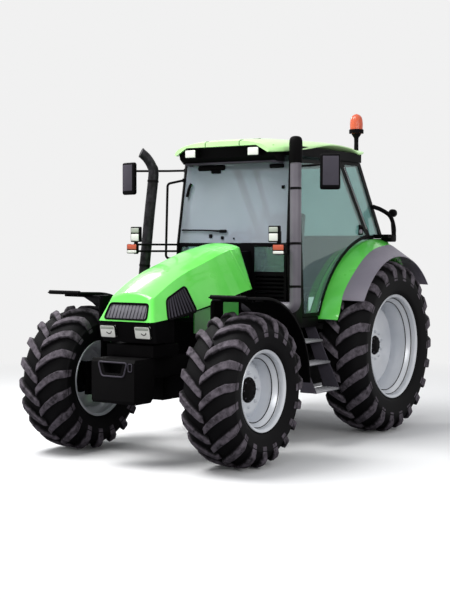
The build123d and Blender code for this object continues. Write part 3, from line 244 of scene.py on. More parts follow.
# %% [markdown]
# ## Floor and backdrop
# The floor is matt and pale. Beyond a few metres it fades into the backdrop's own colour, so no
# horizon shows. It is pale to the camera only: to other rays it is a mid grey, as otherwise it
# would throw so much light back that the tractor's black underside turned grey.

# %% Floor
floor_mesh = bpy.data.meshes.new("floor")
half = 60.0                                     # metres from the middle to the floor's sides
corners = [(-half, -half, 0), (half, -half, 0), (half, half, 0), (-half, half, 0)]
floor_mesh.from_pydata(corners, [], [(0, 1, 2, 3)])
floor = bpy.data.objects.new("floor", floor_mesh)
scene.collection.objects.link(floor)
material, tree, place = start_finish("matt_floor")
distance = add(tree, "VectorMath", {0: place}, operation="LENGTH")
fade = add(tree, "MapRange", {"Value": distance.outputs["Value"], "From Min": 4.0, "From Max": 9.0})
path = add(tree, "LightPath")
pale = add(tree, "MixRGB", {"Fac": path.outputs["Is Camera Ray"], "Color1": linear("#7D7D80"),
                            "Color2": linear("#F4F4F4")})
matt = add(tree, "BsdfPrincipled", {"Base Color": pale, "Roughness": 0.9})
glow = add(tree, "Emission", {"Color": linear("#F1F1F1"), "Strength": 1.0})
mixed = add(tree, "MixShader", {0: fade, 1: matt, 2: glow})
add(tree, "OutputMaterial", {"Surface": mixed})
floor_mesh.materials.append(material)
floor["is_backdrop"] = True

world = bpy.data.worlds.new("studio")
scene.world = world
world.use_nodes = True
tree = world.node_tree
tree.nodes.clear()
path = add(tree, "LightPath")
seen = path.outputs["Is Camera Ray"]
for ray in ("Is Glossy Ray", "Is Transmission Ray"):
    seen = add(tree, "Math", {0: seen, 1: path.outputs[ray]}, operation="MAXIMUM")
lit = add(tree, "Background", {"Color": linear("#F2F4F8"), "Strength": 0.55})
shown = add(tree, "Background", {"Color": linear("#F1F1F1"), "Strength": 1.0})
mixed = add(tree, "MixShader", {0: seen, 1: lit, 2: shown})
add(tree, "OutputWorld", {"Surface": mixed})

# %% [markdown]
# ## Forms from numbers
# A form here is a pair: an array of points, and a list of arrays of faces. Surfaces are worked
# out whole with numpy. A wheel is a profile spun about the axle, a pipe is a circle carried
# along a path, and a lug is one small block that is copied round the tyre. That is quicker
# than moving vertices one by one, and each shape stays one formula that can be changed.


# %% Building blocks
def grid(points, close_u=False, close_v=False, capped=False):
    """Quads over a (u, v) array of points; closed directions join last row to first, caps fill the ends."""
    nu, nv = points.shape[:2]
    u, v = np.meshgrid(np.arange(nu - (not close_u)), np.arange(nv - (not close_v)), indexing="ij")
    u, v, u1, v1 = u.ravel(), v.ravel(), (u.ravel() + 1) % nu, (v.ravel() + 1) % nv
    faces = [np.stack([u * nv + v, u1 * nv + v, u1 * nv + v1, u * nv + v1], axis=1)]
    if capped:
        row = np.arange(nv)[None]
        faces += [row[:, ::-1], row + (nu - 1) * nv]
    return points.reshape(-1, 3), faces


def laid(outline, axis, place):
    """A flat outline in space: the axis gets a place, or one for each point; the pairs fill the other two."""
    return np.insert(np.asarray(outline, float), axis, place, axis=-1)


def join(*forms):
    """One form from several: the faces of each are counted on from the points before it."""
    points = np.concatenate([form[0] for form in forms])
    starts = np.cumsum([0] + [len(form[0]) for form in forms[:-1]])
    return points, [faces + start for form, start in zip(forms, starts) for faces in form[1]]


def shifted(form, x=0.0, y=0.0, z=0.0):
    """The same form moved."""
    return form[0] + np.array((x, y, z)), form[1]


def mirrored(form):
    """The form on the tractor's other side, with its faces turned round to match."""
    return form[0] * np.array((1, -1, 1)), [faces[:, ::-1] for faces in form[1]]


def both(form):
    """The form and its mirror image."""
    return join(form, mirrored(form))


def on_side(form, side):
    """The form as it is drawn, for the left, or its mirror image, for the right."""
    return form if side == "left" else mirrored(form)


def placed(form, origin, axes):
    """A form drawn about the origin, carried to a place with its three axes laid along the rows of axes."""
    return form[0] @ np.array(axes, float) + np.array(origin), form[1]


def repeated(form, turns, shifts):
    """A copy of the form for each 3x3 turn and shift."""
    points = np.einsum("mij,nj->mni", turns, form[0]) + np.asarray(shifts)[:, None, :]
    starts = (np.arange(len(turns)) * len(form[0]))[:, None, None]
    return points.reshape(-1, 3), [(faces[None] + starts).reshape(-1, faces.shape[1]) for faces in form[1]]


def about_y(angles):
    """Turns about the Y axis that carry +Z towards +X."""
    c, s, o, i = np.cos(angles), np.sin(angles), np.zeros(len(angles)), np.ones(len(angles))
    return np.stack([np.stack([c, o, s], 1), np.stack([o, i, o], 1), np.stack([-s, o, c], 1)], 1)


def around(count):
    """Angles spread evenly over one turn."""
    return np.linspace(0, 2 * np.pi, count, endpoint=False)


def on_wheel(radius, offset, angle):
    """Points about the Y axis: x = r sin a, y = offset, z = r cos a."""
    return np.stack([radius * np.sin(angle), offset + 0 * angle, radius * np.cos(angle)], axis=-1)


def spun(profile, segments=96, closed=True):
    """A (radius, offset) profile spun about the Y axis."""
    r, y = np.asarray(profile, float).T
    return grid(on_wheel(r, y, around(segments)[:, None]), close_u=True, close_v=closed)


def through(keys, steps=8, closed=False):
    """A smooth curve through key points: each span is a Catmull-Rom cubic of its four neighbours."""
    keys = np.asarray(keys, float)
    if closed:
        p = np.concatenate([keys[-1:], keys, keys[:2]])
    else:
        p = np.concatenate([2 * keys[:1] - keys[1:2], keys, 2 * keys[-1:] - keys[-2:-1]])
    a, b, c, d = (p[n:len(p) - 3 + n][:, None, :] for n in range(4))
    t = np.linspace(0, 1, steps, endpoint=False)[None, :, None]
    curve = 0.5 * (2 * b + (c - a) * t + (2 * a - 5 * b + 4 * c - d) * t ** 2
                   + (3 * b - a - 3 * c + d) * t ** 3)
    curve = curve.reshape(-1, keys.shape[1])
    return curve if closed else np.concatenate([curve, keys[-1:]])


def rounded(points, bend, steps=6):
    """Straight runs whose corners are parabolas that start a bend's length before each corner."""
    points = np.asarray(points, float)
    before, after = points[:-2] - points[1:-1], points[2:] - points[1:-1]
    a = points[1:-1] + before / np.linalg.norm(before, axis=1, keepdims=True) * bend
    b = points[1:-1] + after / np.linalg.norm(after, axis=1, keepdims=True) * bend
    t = np.linspace(0, 1, steps)[None, :, None]
    arcs = (1 - t) ** 2 * a[:, None] + 2 * t * (1 - t) * points[1:-1, None] + t ** 2 * b[:, None]
    return np.concatenate([points[:1], arcs.reshape(-1, points.shape[1]), points[-1:]])


def loop(corners, bend):
    """A closed outline whose corners are parabolas that start a bend's length away."""
    corners = np.asarray(corners, float)
    return rounded(np.concatenate([corners[-1:], corners, corners[:1]]), bend)[1:-1]


def tube(path, radius, sides=10, closed=False):
    """A circle of a radius (or one for each point) carried along a path, with closed ends."""
    path = np.asarray(path, float)
    along = np.roll(path, -1, 0) - np.roll(path, 1, 0) if closed else np.gradient(path, axis=0)
    along /= np.linalg.norm(along, axis=1, keepdims=True)
    side = np.cross(along, np.eye(3)[np.argmin(np.abs(along).max(axis=0))])
    side /= np.linalg.norm(side, axis=1, keepdims=True)
    up = np.cross(along, side)
    angle = around(sides)[None, :, None]
    ring = np.cos(angle) * side[:, None] + np.sin(angle) * up[:, None]
    points = path[:, None] + ring * np.broadcast_to(radius, len(path))[:, None, None]
    return grid(points, close_u=closed, close_v=True, capped=not closed)


def block(low, high, radius, cells=3):
    """A box with rounded edges: each point of a gridded box is pulled to a radius from the inner box."""
    low, high = np.array(low, float), np.array(high, float)
    half, middle = (high - low) / 2, (high + low) / 2
    radius = min(radius, half.min() * 0.999)
    share = radius / half
    bend = np.cos(np.linspace(0, np.pi / 2, cells))
    t = np.concatenate([-bend, [0.0], bend[::-1]])
    sides = []
    for axis in range(3):
        u, v = (axis + 1) % 3, (axis + 2) % 3
        tu, tv = (np.sign(t) * (1 - (1 - np.abs(t)) * share[n]) for n in (u, v))
        for sign in (1, -1):
            face = np.empty((len(t), len(t), 3))
            face[..., axis] = sign
            face[..., u], face[..., v] = np.meshgrid(tu, tv, indexing="ij")
            sides.append(grid(face))
    points, faces = join(*sides)
    points = points * half
    core = np.clip(points, radius - half, half - radius)
    out = points - core
    return core + out / np.maximum(np.linalg.norm(out, axis=1, keepdims=True), 1e-9) * radius + middle, faces


def prism(outline, axis, start, end):
    """A flat outline pushed along an axis, 0, 1 or 2; the outline's pairs are the other two axes in order."""
    return grid(np.stack([laid(outline, axis, start), laid(outline, axis, end)]), close_v=True, capped=True)


# %% Putting a form in the scene
def piece(name, form, finish, body="chassis", slot=None, replaces=None, sharp=35, mend=True, values=None):
    """Make a mesh of a form, with its faces pointing out and its edges sharp above an angle in degrees."""
    mesh = bpy.data.meshes.new(name)
    mesh.from_pydata(form[0].tolist(), [], [face for faces in form[1] for face in faces.tolist()])
    if values is not None:
        mesh.attributes.new("lift", "FLOAT", "POINT").data.foreach_set("value", values.astype(np.float32))
    if mend:
        work = bmesh.new()
        work.from_mesh(mesh)
        bmesh.ops.remove_doubles(work, verts=work.verts, dist=2e-5)
        bmesh.ops.recalc_face_normals(work, faces=work.faces)
        work.to_mesh(mesh)
        work.free()
    mesh.shade_smooth()
    mesh.set_sharp_from_angle(angle=math.radians(sharp))
    mesh.materials.append(finishes[finish])
    made = bpy.data.objects.new(name, mesh)
    scene.collection.objects.link(made)
    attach(made, body)
    if replaces:
        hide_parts(replaces)
    return made


def box_of(node):
    """A CAD node's low corner, high corner and middle, as arrays."""
    low, high = (np.array(corner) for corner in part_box(node))
    return low, high, (low + high) / 2

# %% [markdown]
# ## Tyres
# A farm tyre is a thin carcass with tall rubber bars, or lugs, set in a herringbone so that mud
# is pushed out sideways. The bars start near the middle, run out to the shoulder and down its
# side, left and right in turn. A sculpted or displaced surface would need millions of faces.
# Here one lug is bent along the carcass, then copied round it, so the whole tyre stays light.
# The lug tops are painted grey as a painted highlight, and the grooves stay black: each point stores how far
# it stands off the carcass, and the rubber reads that value.


# %% Rubber
material, tree, place = start_finish("rubber_with_painted_lug_tops")
# Painted highlight: the higher a point stands off the carcass, the greyer it is painted, in patches from a
# noise
stand = add(tree, "Attribute", attribute_name="lift")
highlight_breakup = add(tree, "TexNoise", {"Vector": place, "Scale": 1000 / 60, "Detail": 4.0, "Roughness": 0.65})
lug_highlight_mask = add(tree, "Math", {0: stand.outputs["Fac"], 1: highlight_breakup}, operation="MULTIPLY")
lug_highlight_mask = add(tree, "MapRange", {"Value": lug_highlight_mask, "From Min": 0.25, "From Max": 0.62})
colour = add(tree, "MixRGB", {"Fac": lug_highlight_mask, "Color1": linear("#0A090B"), "Color2": linear("#6A636B")})
skin = add(tree, "TexNoise", {"Vector": place, "Scale": 1000 / 8, "Detail": 3.0})
bump = add(tree, "Bump", {"Height": skin, "Distance": 0.0012, "Strength": 0.6})
body = add(tree, "BsdfPrincipled", {"Base Color": colour, "Roughness": 0.7, "Specular IOR Level": 0.12,
                                    "Normal": bump})
add(tree, "OutputMaterial", {"Surface": body})
finishes["tyre_rubber"] = material


# %% Tyre sections
def carcass_keys(radius, width, bead_r, bead, lug_h):
    """Half of the carcass's outer section, from the bead up the side wall and in to the crown."""
    half, drop = width / 2, radius - lug_h
    return [(bead_r, bead), (bead_r + 0.03, bead), (bead_r + 0.045, bead + 0.012),
            (bead_r + 0.085, half - 0.02), ((radius + bead_r) / 2, half), (drop - 0.105, half - 0.012),
            (drop - 0.055, half - 0.045), (drop - 0.018, half - 0.1), (drop - 0.003, half * 0.35),
            (drop, 0.0)]


def tyre(radius, width, bead_r, bead, lug_h, lugs, lug_w, lag):
    """Carcass and lugs about the origin: a lug's section is carried from the crown to the side wall."""
    half_curve = through(carcass_keys(radius, width, bead_r, bead, lug_h), 7)
    inner = np.array([(bead_r, bead - 0.035), (bead_r + 0.05, bead - 0.035), (radius * 0.8, width * 0.4),
                      (radius - lug_h - 0.04, width * 0.33), (radius - lug_h - 0.035, 0.0)])
    ring = np.concatenate([half_curve, half_curve[-2::-1] * (1, -1), inner * (1, -1), inner[-2::-1]])
    carcass = spun(ring, segments=128)

    # The lug's line: s runs from the crown outwards and down the carcass
    crown = half_curve[::-1]
    run = np.concatenate([[0], np.cumsum(np.linalg.norm(np.diff(crown, axis=0), axis=1))])
    s = np.array([0.0, 0.02, 0.06, 0.16, 0.3, 0.45, 0.6, 0.72, 0.82, 0.9, 0.96, 1.0])
    past, length = 0.012, width / 2 + 0.1          # it starts this far past the middle, and ends there
    along = -past + s * (length + past)
    r = np.interp(np.abs(along), run, crown[:, 0])
    y = np.interp(np.abs(along), run, crown[:, 1]) * np.sign(along + 1e-9)
    slope = np.stack([np.gradient(r, s), np.gradient(y, s)], 1)
    out = np.stack([slope[:, 1], -slope[:, 0]], 1) / np.linalg.norm(slope, axis=1, keepdims=True)
    height = lug_h * np.interp(s, [0, 0.05, 0.12, 0.62, 0.75, 0.9, 1.0],
                               [0.5, 0.92, 1.0, 1.0, 0.72, 0.38, 0.12])
    bow = 0.06 * np.sin(np.pi * np.clip(s / 0.7, 0, 1))
    shift = lag * (np.interp(s, [0, 0.62, 1.0], [0, 0.82, 1.0]) + bow)
    thick = lug_w * np.interp(s, [0, 0.1, 0.6, 1.0], [0.4, 0.46, 0.54, 0.56])

    # Its section: foot, chamfer, top and back down, with the foot a little inside the carcass
    across = np.array([-1.22, -1.0, -0.84, 0.84, 1.0, 1.22])
    lift = np.array([0.0, 0.88, 1.0, 1.0, 0.88, 0.0])
    foot = -0.008
    h = foot + (height[:, None] - foot) * lift
    turn = (thick[:, None] * across - shift[:, None]) / radius
    points = on_wheel(np.minimum(r[:, None] + out[:, :1] * h, radius),
                      np.minimum(y[:, None] + out[:, 1:] * h, width / 2), turn)
    points, (sides, *ends) = grid(points, capped=True)
    lug = points, [sides, *(end[:, ::-1] for end in ends)]
    turns = np.arange(lugs) * 2 * np.pi / lugs + lug_w / 2 / radius
    still = np.zeros((lugs, 3))
    form = join(carcass, repeated(lug, about_y(turns), still),
                repeated(mirrored(lug), about_y(turns + np.pi / lugs), still))
    return form, np.concatenate([np.zeros(len(carcass[0])), np.tile(lift, len(s) * 2 * lugs)])


def half_height(node):
    """Half of a node's height: the outer radius of a tyre or a rim."""
    low, high, _ = box_of(node)
    return (high - low)[2] / 2


# %% Four tyres
SEAT_DEPTH = 0.025          # the rim's flange stands this far over the tyre's bead
tyres = [
    # name, half width at the bead, lug height, lugs a side, lug width, how far a lug's end lags
    ("rear", 0.213, 0.046, 22, 0.096, 0.23),
    ("front", 0.223, 0.046, 19, 0.08, 0.235),
]
for name, bead, *lug in tyres:
    for side in ("left", "right"):
        node, rim = f"{name}_tyre_{side}", f"{name}_rim_{side}"
        low, high, middle = box_of(node)
        radius, width = half_height(node), (high - low)[1]
        form, values = tyre(radius, width, half_height(rim) - SEAT_DEPTH, bead, *lug)
        made = piece(node + "_lugged", shifted(form, *middle), "tyre_rubber", f"{name}_wheel_{side}",
                     replaces=node, sharp=40, values=values)
    print(f"{name} tyre: radius {radius:.3f} m, width {width:.3f} m, {len(made.data.polygons)} faces")

# %% [markdown]
# ## Wheel rims
# A rim is rolled from one strip of steel: a flange, a ledge for the bead, then a deep well. A
# dished disc is welded into it and bolted to the hub. All of that is round, so each is a profile
# spun about the axle. Bolts are small spun forms copied round a circle.


# %% Rim, disc and hub forms
def nuts_round(count, circle, offset, radius, height):
    """Six-sided nuts with domed stud ends, standing along +Y on a circle about the Y axis."""
    share = np.array([(0, 0), (1, 0), (1, 0.8), (0.88, 1), (0.5, 1), (0.5, 1.5), (0, 1.6)])
    nut = spun(share * (radius, height), segments=6, closed=False)
    angle = around(count)
    return repeated(nut, about_y(angle), on_wheel(circle, offset, angle))


def barrel(flange, half, t=0.012):
    """The rolled rim about the origin, outer side towards +Y, of sheet t thick."""
    seat, well = flange - SEAT_DEPTH, flange - 0.07
    outside = [(flange - 0.004, half), (flange, half - 0.004), (flange, half - 0.01),
               (seat + 0.01, half - 0.012), (seat, half - 0.02), (seat - 0.003, half - 0.06),
               (well, half - 0.105)]
    inside = [(well - t, half - 0.112), (well - t + 0.004, half - 0.104), (seat - t - 0.004, half - 0.064),
              (seat - t + 0.004, half - 0.056), (seat - t + 0.004, half - 0.024),
              (seat - t + 0.01, half - 0.012), (flange - 0.012, half - 0.005)]
    ring = outside + [(r, -y) for r, y in reversed(outside)] + [(r, -y) for r, y in reversed(inside)] + inside
    return spun(ring, segments=128)


def disc(bore, well, face, dish=0.06, t=0.014):
    """The pressed centre, t thick: flat where it is bolted, then a cone that leans in to the barrel."""
    knee = well - 0.09
    front = through([(bore, face), (bore + 0.1, face), (knee - 0.02, face), (knee + 0.02, face - 0.008),
                     (well - 0.02, face - dish + 0.012), (well + 0.002, face - dish)], 4)
    return spun(np.concatenate([front, front[::-1] - (0, t)]), segments=128)


def hub(bore, face, tip, depth):
    """The turned hub: a domed end out at tip, a flange behind the disc's face, and a boss depth long."""
    profile = [(0.0, tip), (bore * 0.35, tip), (bore * 0.45, tip - 0.004), (bore * 0.8, tip - 0.006),
               (bore * 0.93, tip - 0.012), (bore, tip - 0.022), (bore, face - 0.014),
               (bore + 0.04, face - 0.0145), (bore + 0.04, face - 0.036), (bore, face - 0.036),
               (bore, face - depth)]
    nuts = nuts_round(6, bore * 0.66, tip - 0.008, 0.008, 0.006)
    return join(spun(profile, segments=72, closed=False), nuts)


# %% Four rims
wheels = [
    # name, half width of the rim, inset of the disc, bore, hub's reach, hub's depth, nuts, nut circle
    ("rear", 0.225, 0.25, 0.105, 0.025, 0.3, 10, 0.15),
    ("front", 0.235, 0.18, 0.118, 0.028, 0.15, 8, 0.158),
]
for name, half, inset, bore, reach, depth, nuts, circle in wheels:
    flange, face = half_height(f"{name}_rim_left"), half - inset
    tip = face + reach
    rolled = join(barrel(flange, half), disc(bore + 0.001, flange - 0.082, face),
                  nuts_round(nuts, circle, face, 0.016, 0.018))
    turned = hub(bore, face, tip, depth)
    # Black rings on the two steps inside the barrel: painted shade
    painted_shade_rings = [tube(on_wheel(r, y, around(96)), 0.0045, 6, closed=True)
              for r, y in ((flange - 0.083, half - 0.108), (flange - 0.041, half - 0.06))]
    cap = [(0.0, tip - 0.002), (bore * 0.3, tip - 0.002), (bore * 0.34, tip - 0.008)]
    bolts = join(nuts_round(nuts, bore * 0.84, tip - 0.014, 0.009, 0.008),
                 spun(cap, segments=24, closed=False))
    for side in ("left", "right"):
        middle, body = box_of(f"{name}_tyre_{side}")[2], f"{name}_wheel_{side}"
        rim, centre = f"{name}_rim_{side}", f"{name}_hub_{side}"
        for title, form, finish, *more in (
                (rim + "_rolled", rolled, "rim_silver", None, rim, 30),
                (centre + "_turned", turned, "cast_black", None, centre if name == "front" else None, 30),
                # Painted shade on the barrel's steps
                (rim + "_joints", join(*painted_shade_rings), "black_frame"),
                (centre + "_bolts", bolts, "slat_grey", "cast_black")):
            piece(title, shifted(on_side(form, side), *middle), finish, body, *more)
print("rims made")

# %% [markdown]
# ## Soft edges on the plain solids
# A casting, a folded panel or a moulding never has a knife edge: paint and tooling leave a
# radius of one to ten millimetres, and that narrow band catches the light. The solids have sharp
# edges. So each one is copied, its loose triangles are joined and its flat faces merged, and a
# Bevel modifier rounds the edges. The solid itself stays as it is, hidden behind its copy.


# %% A softened copy of a solid
def softened(node, width):
    """A copy of a CAD node's surface, its flat faces merged and its edges bevelled by a width in metres."""
    slot = next(part["material_slot"] for part in frame["record"]["subparts"] if part["node"] == node)
    body = next(name for name, nodes in frame["record"]["behaviour"]["bodies"].items() if node in nodes)
    work = bmesh.new()
    work.from_mesh(frame["nodes"][node].data)
    bmesh.ops.remove_doubles(work, verts=work.verts, dist=1e-5)
    bmesh.ops.dissolve_limit(work, angle_limit=math.radians(1.5), verts=work.verts, edges=work.edges)
    mesh = bpy.data.meshes.new(node + "_soft")
    work.to_mesh(mesh)
    work.free()
    mesh.shade_smooth()
    mesh.materials.append(finishes[slot])
    made = bpy.data.objects.new(node + "_soft", mesh)
    scene.collection.objects.link(made)
    bevel = made.modifiers.new("edges", "BEVEL")
    bevel.width, bevel.segments, bevel.limit_method = width, 3, "ANGLE"
    bevel.angle_limit, bevel.use_clamp_overlap = math.radians(30), True
    bevel.harden_normals = True
    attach(made, body)
    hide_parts(node)


soft_edges = {                                   # each solid, and how wide its edges are rounded, in metres
    "front_frame": 0.014, "engine_block": 0.012, "front_axle": 0.012,
    "knuckle_left": 0.012, "knuckle_right": 0.012, "side_tanks": 0.01, "radiator": 0.01,
    "cab_front_posts": 0.006, "cab_floor": 0.006, "cab_lower_walls": 0.004,
    "dash": 0.012, "seat_base": 0.015,
}
for node, width in soft_edges.items():
    softened(node, width)
print("softened:", len(soft_edges), "solids")

# %% [markdown]
# ## Bonnet and nose trim
# The bonnet is one pressed shell that leans in from its foot to its shoulder. Its grilles are
# moulded frames with bars, clipped in from behind. A bar could be cut out of a plate with a
# boolean, but a bar is only a short path with a round section, so each is laid straight onto the
# bonnet's side, whose width at any height one formula gives. The nose leans back, so its parts
# are drawn flat and then placed on its plane.

# %% The bonnet's side
bonnet_rows = np.array([
    # x, shoulder half width, shoulder height, foot half width, foot height
    (0.56, 0.252, 2.045, 0.392, 1.6),
    (0.82, 0.262, 1.995, 0.386, 1.565),
    (1.137, 0.262, 1.912, 0.377, 1.5),
    (1.466, 0.26, 1.815, 0.368, 1.44),
    (1.78, 0.255, 1.7, 0.355, 1.385),
    (2.01, 0.25, 1.582, 0.338, 1.352),
    (2.15, 0.245, 1.503, 0.325, 1.338),
])


def flank(x, z):
    """The bonnet's half width at a place: straight from the shoulder down to the foot, both found by x."""
    top_y, top_z, foot_y, foot_z = (np.interp(x, bonnet_rows[:, 0], bonnet_rows[:, n]) for n in range(1, 5))
    return top_y + (top_z - z) / (top_z - foot_z) * (foot_y - top_y)


def on_flank(outline, out):
    """Points given by x and z, laid a little way out from the bonnet's side."""
    return laid(outline, 1, flank(outline[..., 0], outline[..., 1]) + out)


# %% Side grilles
corners = np.array([(1.915, 1.539), (1.626, 1.658), (1.54, 1.415), (1.968, 1.346)])
frames = tube(on_flank(loop(corners, 0.04), 0.001), 0.01, closed=True)
piece("side_grille_frames", both(frames), "black_plastic", "bonnet", replaces="side_grilles")

slats = []
for share in np.linspace(0.07, 0.93, 9):
    low = corners[2] + share * (corners[3] - corners[2]) + (0, 0.012)
    high = corners[1] + share * (corners[0] - corners[1]) - (0, 0.012)
    slats.append(tube(on_flank(low + np.linspace(0, 1, 8)[:, None] * (high - low), -0.006), 0.0105))
made = piece("side_grille_slats", both(join(*slats)), "slat_grey", "bonnet", slot="black_plastic")

# The sheet behind the slats: each point is a mix of the four corners
u, v = np.meshgrid(np.linspace(0, 1, 12), np.linspace(0, 1, 8), indexing="ij")
shares = np.stack([u * v, (1 - u) * v, (1 - u) * (1 - v), u * (1 - v)], axis=-1)
outer = on_flank(shares @ corners, -0.018)
backing = join(grid(outer), grid((outer - (0, 0.003, 0))[::-1]))
piece("side_grille_backing", both(backing), "black_plastic", "bonnet", mend=False)
print("side grille slats:", len(made.data.polygons), "faces")

# %% Nose grille
nose_foot, nose_up = np.array((2.18, 0, 1.335)), np.array((-0.09, 0, 0.195)) / math.hypot(0.09, 0.195)
nose_axes = [(0, 1, 0), nose_up, (nose_up[2], 0, -nose_up[0])]     # across, up the nose, out of it
narrow = np.array((0.985, 1))                    # the trim is drawn a little narrower than the mouth
mouth = np.array([(-0.253, 0.023), (0.253, 0.023), (0.226, 0.182), (-0.226, 0.182)])
bars = []
for place in np.linspace(-0.225, 0.225, 12):
    top = 0.174 if abs(place) < 0.208 else 0.15     # the outer bars end under the slanting sides
    bars.append(block((place - 0.0165, 0.03, -0.014), (place + 0.0165, top, -0.004), 0.005))
screen = [(-0.235, 0.105), (-0.16, 0.125), (-0.05, 0.098), (0.06, 0.13), (0.15, 0.1), (0.235, 0.118),
          (0.222, 0.172), (-0.222, 0.172)]
for name, form, finish, *more in (
        ("nose_grille_frame", tube(laid(loop(mouth, 0.034) * narrow, 2, 0.002), 0.009, closed=True),
         "black_plastic", None, "front_grille"),
        ("nose_grille_bars", join(*bars), "nose_grey", "grey_plastic"),
        ("nose_grille_backing", prism(loop(mouth * narrow, 0.03), 2, -0.022, -0.016), "black_plastic"),
        ("nose_grille_screen", prism(screen, 2, -0.0155, -0.01), "nose_grey", "grey_plastic")):
    piece(name, placed(form, nose_foot, nose_axes), finish, "bonnet", *more)

# %% Headlamps
half_y, half_z, lean = 0.0905, 0.0605, math.atan2(40, 187)     # half width, half height and tilt of a lens
frame_y, frame_z = half_y + 0.001, half_z + 0.001
outline = loop([(-frame_y, -frame_z), (frame_y, -frame_z), (frame_y, frame_z), (-frame_y, frame_z)], 0.026)
# A black squiggle laid just proud of each lens's front face: a painted reflection
reflection_squiggle = through([(0.0125, -0.012, -0.006), (0.0125, 0.014, -0.02), (0.0125, 0.04, -0.012),
                (0.0125, 0.046, 0.004)], 5)
places = [(2.166, side * 0.204, 1.24) for side in (1, -1)]
for name, form, finish, *more in (
        ("headlamp_lenses", block((-0.012, -half_y, -half_z), (0.012, half_y, half_z), 0.014, 5),
         "lamp_glass", None, "headlamps"),
        ("headlamp_shades", block((0.004, -0.078, 0.022), (0.0135, 0.078, 0.05), 0.004),
         "lens_grey", "lamp_glass"),
        ("headlamp_bezels", tube(laid(outline, 0, 0.007), 0.0065, 8, closed=True), "black_plastic"),
        # Painted reflection on each headlamp lens
        ("headlamp_bulb_caps", tube(reflection_squiggle, 0.004, 6), "black_plastic")):
    piece(name, repeated(form, about_y([lean, lean]), places), finish, "bonnet", *more)
print("nose trim made")

# %% [markdown]
# ## Roof
# The roof is a glass-fibre moulding: a shallow crown whose edges droop, most of all at the two
# front corners. A box cut by three planes looks like a lid, and modelling it by hand takes many
# loops. Instead its cross-section is written once, from five numbers, and those numbers change
# along the length. A smooth curve runs through the sections, which gives the soft droop.

# %% Roof moulding
roof_rows = np.array([
    # x, half width, side edge height, underside height, crown height
    (-1.29, 0.56, 3.088, 3.092, 3.106),
    (-1.2, 0.705, 3.072, 3.06, 3.135),
    (-1.037, 0.738, 3.045, 3.06, 3.146),
    (-0.85, 0.738, 3.088, 3.06, 3.154),
    (-0.402, 0.738, 3.098, 3.06, 3.164),
    (0.123, 0.725, 3.023, 3.06, 3.158),
    (0.3, 0.712, 3.004, 3.06, 3.15),
    (0.48, 0.655, 2.986, 3.058, 3.134),
    (0.608, 0.58, 2.979, 3.057, 3.108),
])


def roof_ring(row):
    """One section: edge, crown and underside of the right half, then the same on the left."""
    x, half, edge, under, crown = row
    fall = crown - edge
    top = through([(half, edge + 0.016), (0.96 * half, edge + 0.38 * fall), (0.82 * half, edge + 0.68 * fall),
                   (0.5 * half, edge + 0.94 * fall), (0, crown)], 4)
    foot = [(0.0, under), (0.74 * half, under), (half - 0.012, edge), (half, edge + 0.006)]
    side = np.concatenate([foot, top])
    ring = np.concatenate([side, side[-2:0:-1] * (-1, 1)])
    return laid(ring, 0, x)


skin = grid(np.stack([roof_ring(row) for row in through(roof_rows, 5)]), close_v=True, capped=True)
made = piece("roof_moulding", skin, "roof_paint", replaces="roof_cap", sharp=50)
print("roof moulding:", len(made.data.polygons), "faces")

# %% Roof seams, visor and lower lip
seams = [tube([(0.2, y, 3.157), (0.585, y, 3.113), (0.6095, y, 3.1), (0.6095, y, 3.06)], 0.0035, 6)
         for y in (-0.19, 0.23)]
piece("roof_seams", join(*seams), "black_plastic")
visor = [(0.305, 2.904), (0.44, 2.9), (0.505, 2.95), (0.53, 3.056), (0.305, 3.058)]
plate = [(0.304, -0.65), (0.304, 0.65), (0.26, 0.722), (-1.11, 0.722), (-1.13, 0.7), (-1.13, -0.7),
         (-1.11, -0.722), (0.26, -0.722)]
form = join(prism(visor, 1, -0.588, 0.588), prism(plate, 2, 2.962, 3.058))
piece("roof_frame_and_visor", form, "black_plastic", replaces="roof_frame")
lip = laid(rounded([(0.31, -0.565), (0.452, -0.565), (0.452, 0.565), (0.31, 0.565)], 0.04), 2, 2.897)
piece("visor_lip", tube(lip, 0.013), "slat_grey", slot="black_plastic")

# %% [markdown]
# ## Lamps, beacon and mirrors
# Each lamp is a moulded housing with one or two lenses set into its front. Those are the same
# forms every time, so one function makes a lamp of any size that looks ahead. The beacon's dome
# is a smooth profile spun round, and small ribs on it scatter the light as on a moulded lens.


# %% Lamps that look ahead
def lamp(low, high, *lens_heights, wall=0.006):
    """A rounded housing between two corners, and a lens in its front between each pair of heights."""
    low, high = np.array(low), np.array(high)
    inset = wall + 0.004
    lenses = [block((high[0] - 0.012, low[1] + inset, foot), (high[0] + 0.006, high[1] - inset, top), 0.007)
              for foot, top in lens_heights]
    return block(low, high, 0.01), *lenses


housing, cream, grey = lamp((0.8965, 0.79, 2.075), (0.944, 0.91, 2.235), (2.086, 2.16), (2.172, 2.222))
roof_housing, roof_lens = lamp((0.53, 0.32, 2.95), (0.596, 0.458, 3.04), (2.956, 3.034), wall=0.002)
rear = spun([(0.0, -0.045), (0.038, -0.045), (0.045, -0.036), (0.045, 0.02), (0.03, 0.038), (0.0, 0.043)],
            segments=24, closed=False)
rear = placed(rear, (-1.6, 0.87, 2.415), [(0, 1, 0), (0.8, 0, 0), (0, 0, 1)])
side_housing, orange, white = lamp((0.8965, 0.83, 1.955), (0.934, 0.97, 2.055),
                                   (1.997, 2.05), (1.96, 1.99))
for name, form, finish, *more in (
        ("work_lamp_housings", join(housing, roof_housing, rear), "black_plastic", None, "work_lamps"),
        ("work_lamp_lenses", join(cream, roof_lens), "lamp_glass"),
        ("work_lamp_upper_lenses", grey, "lens_grey", "lamp_glass"),
        ("indicator_housings", side_housing, "black_plastic", None, "indicators"),
        ("indicator_lenses", orange, "orange_lens"),
        ("marker_lenses", white, "lamp_glass")):
    piece(name, both(form), finish, "chassis", *more)

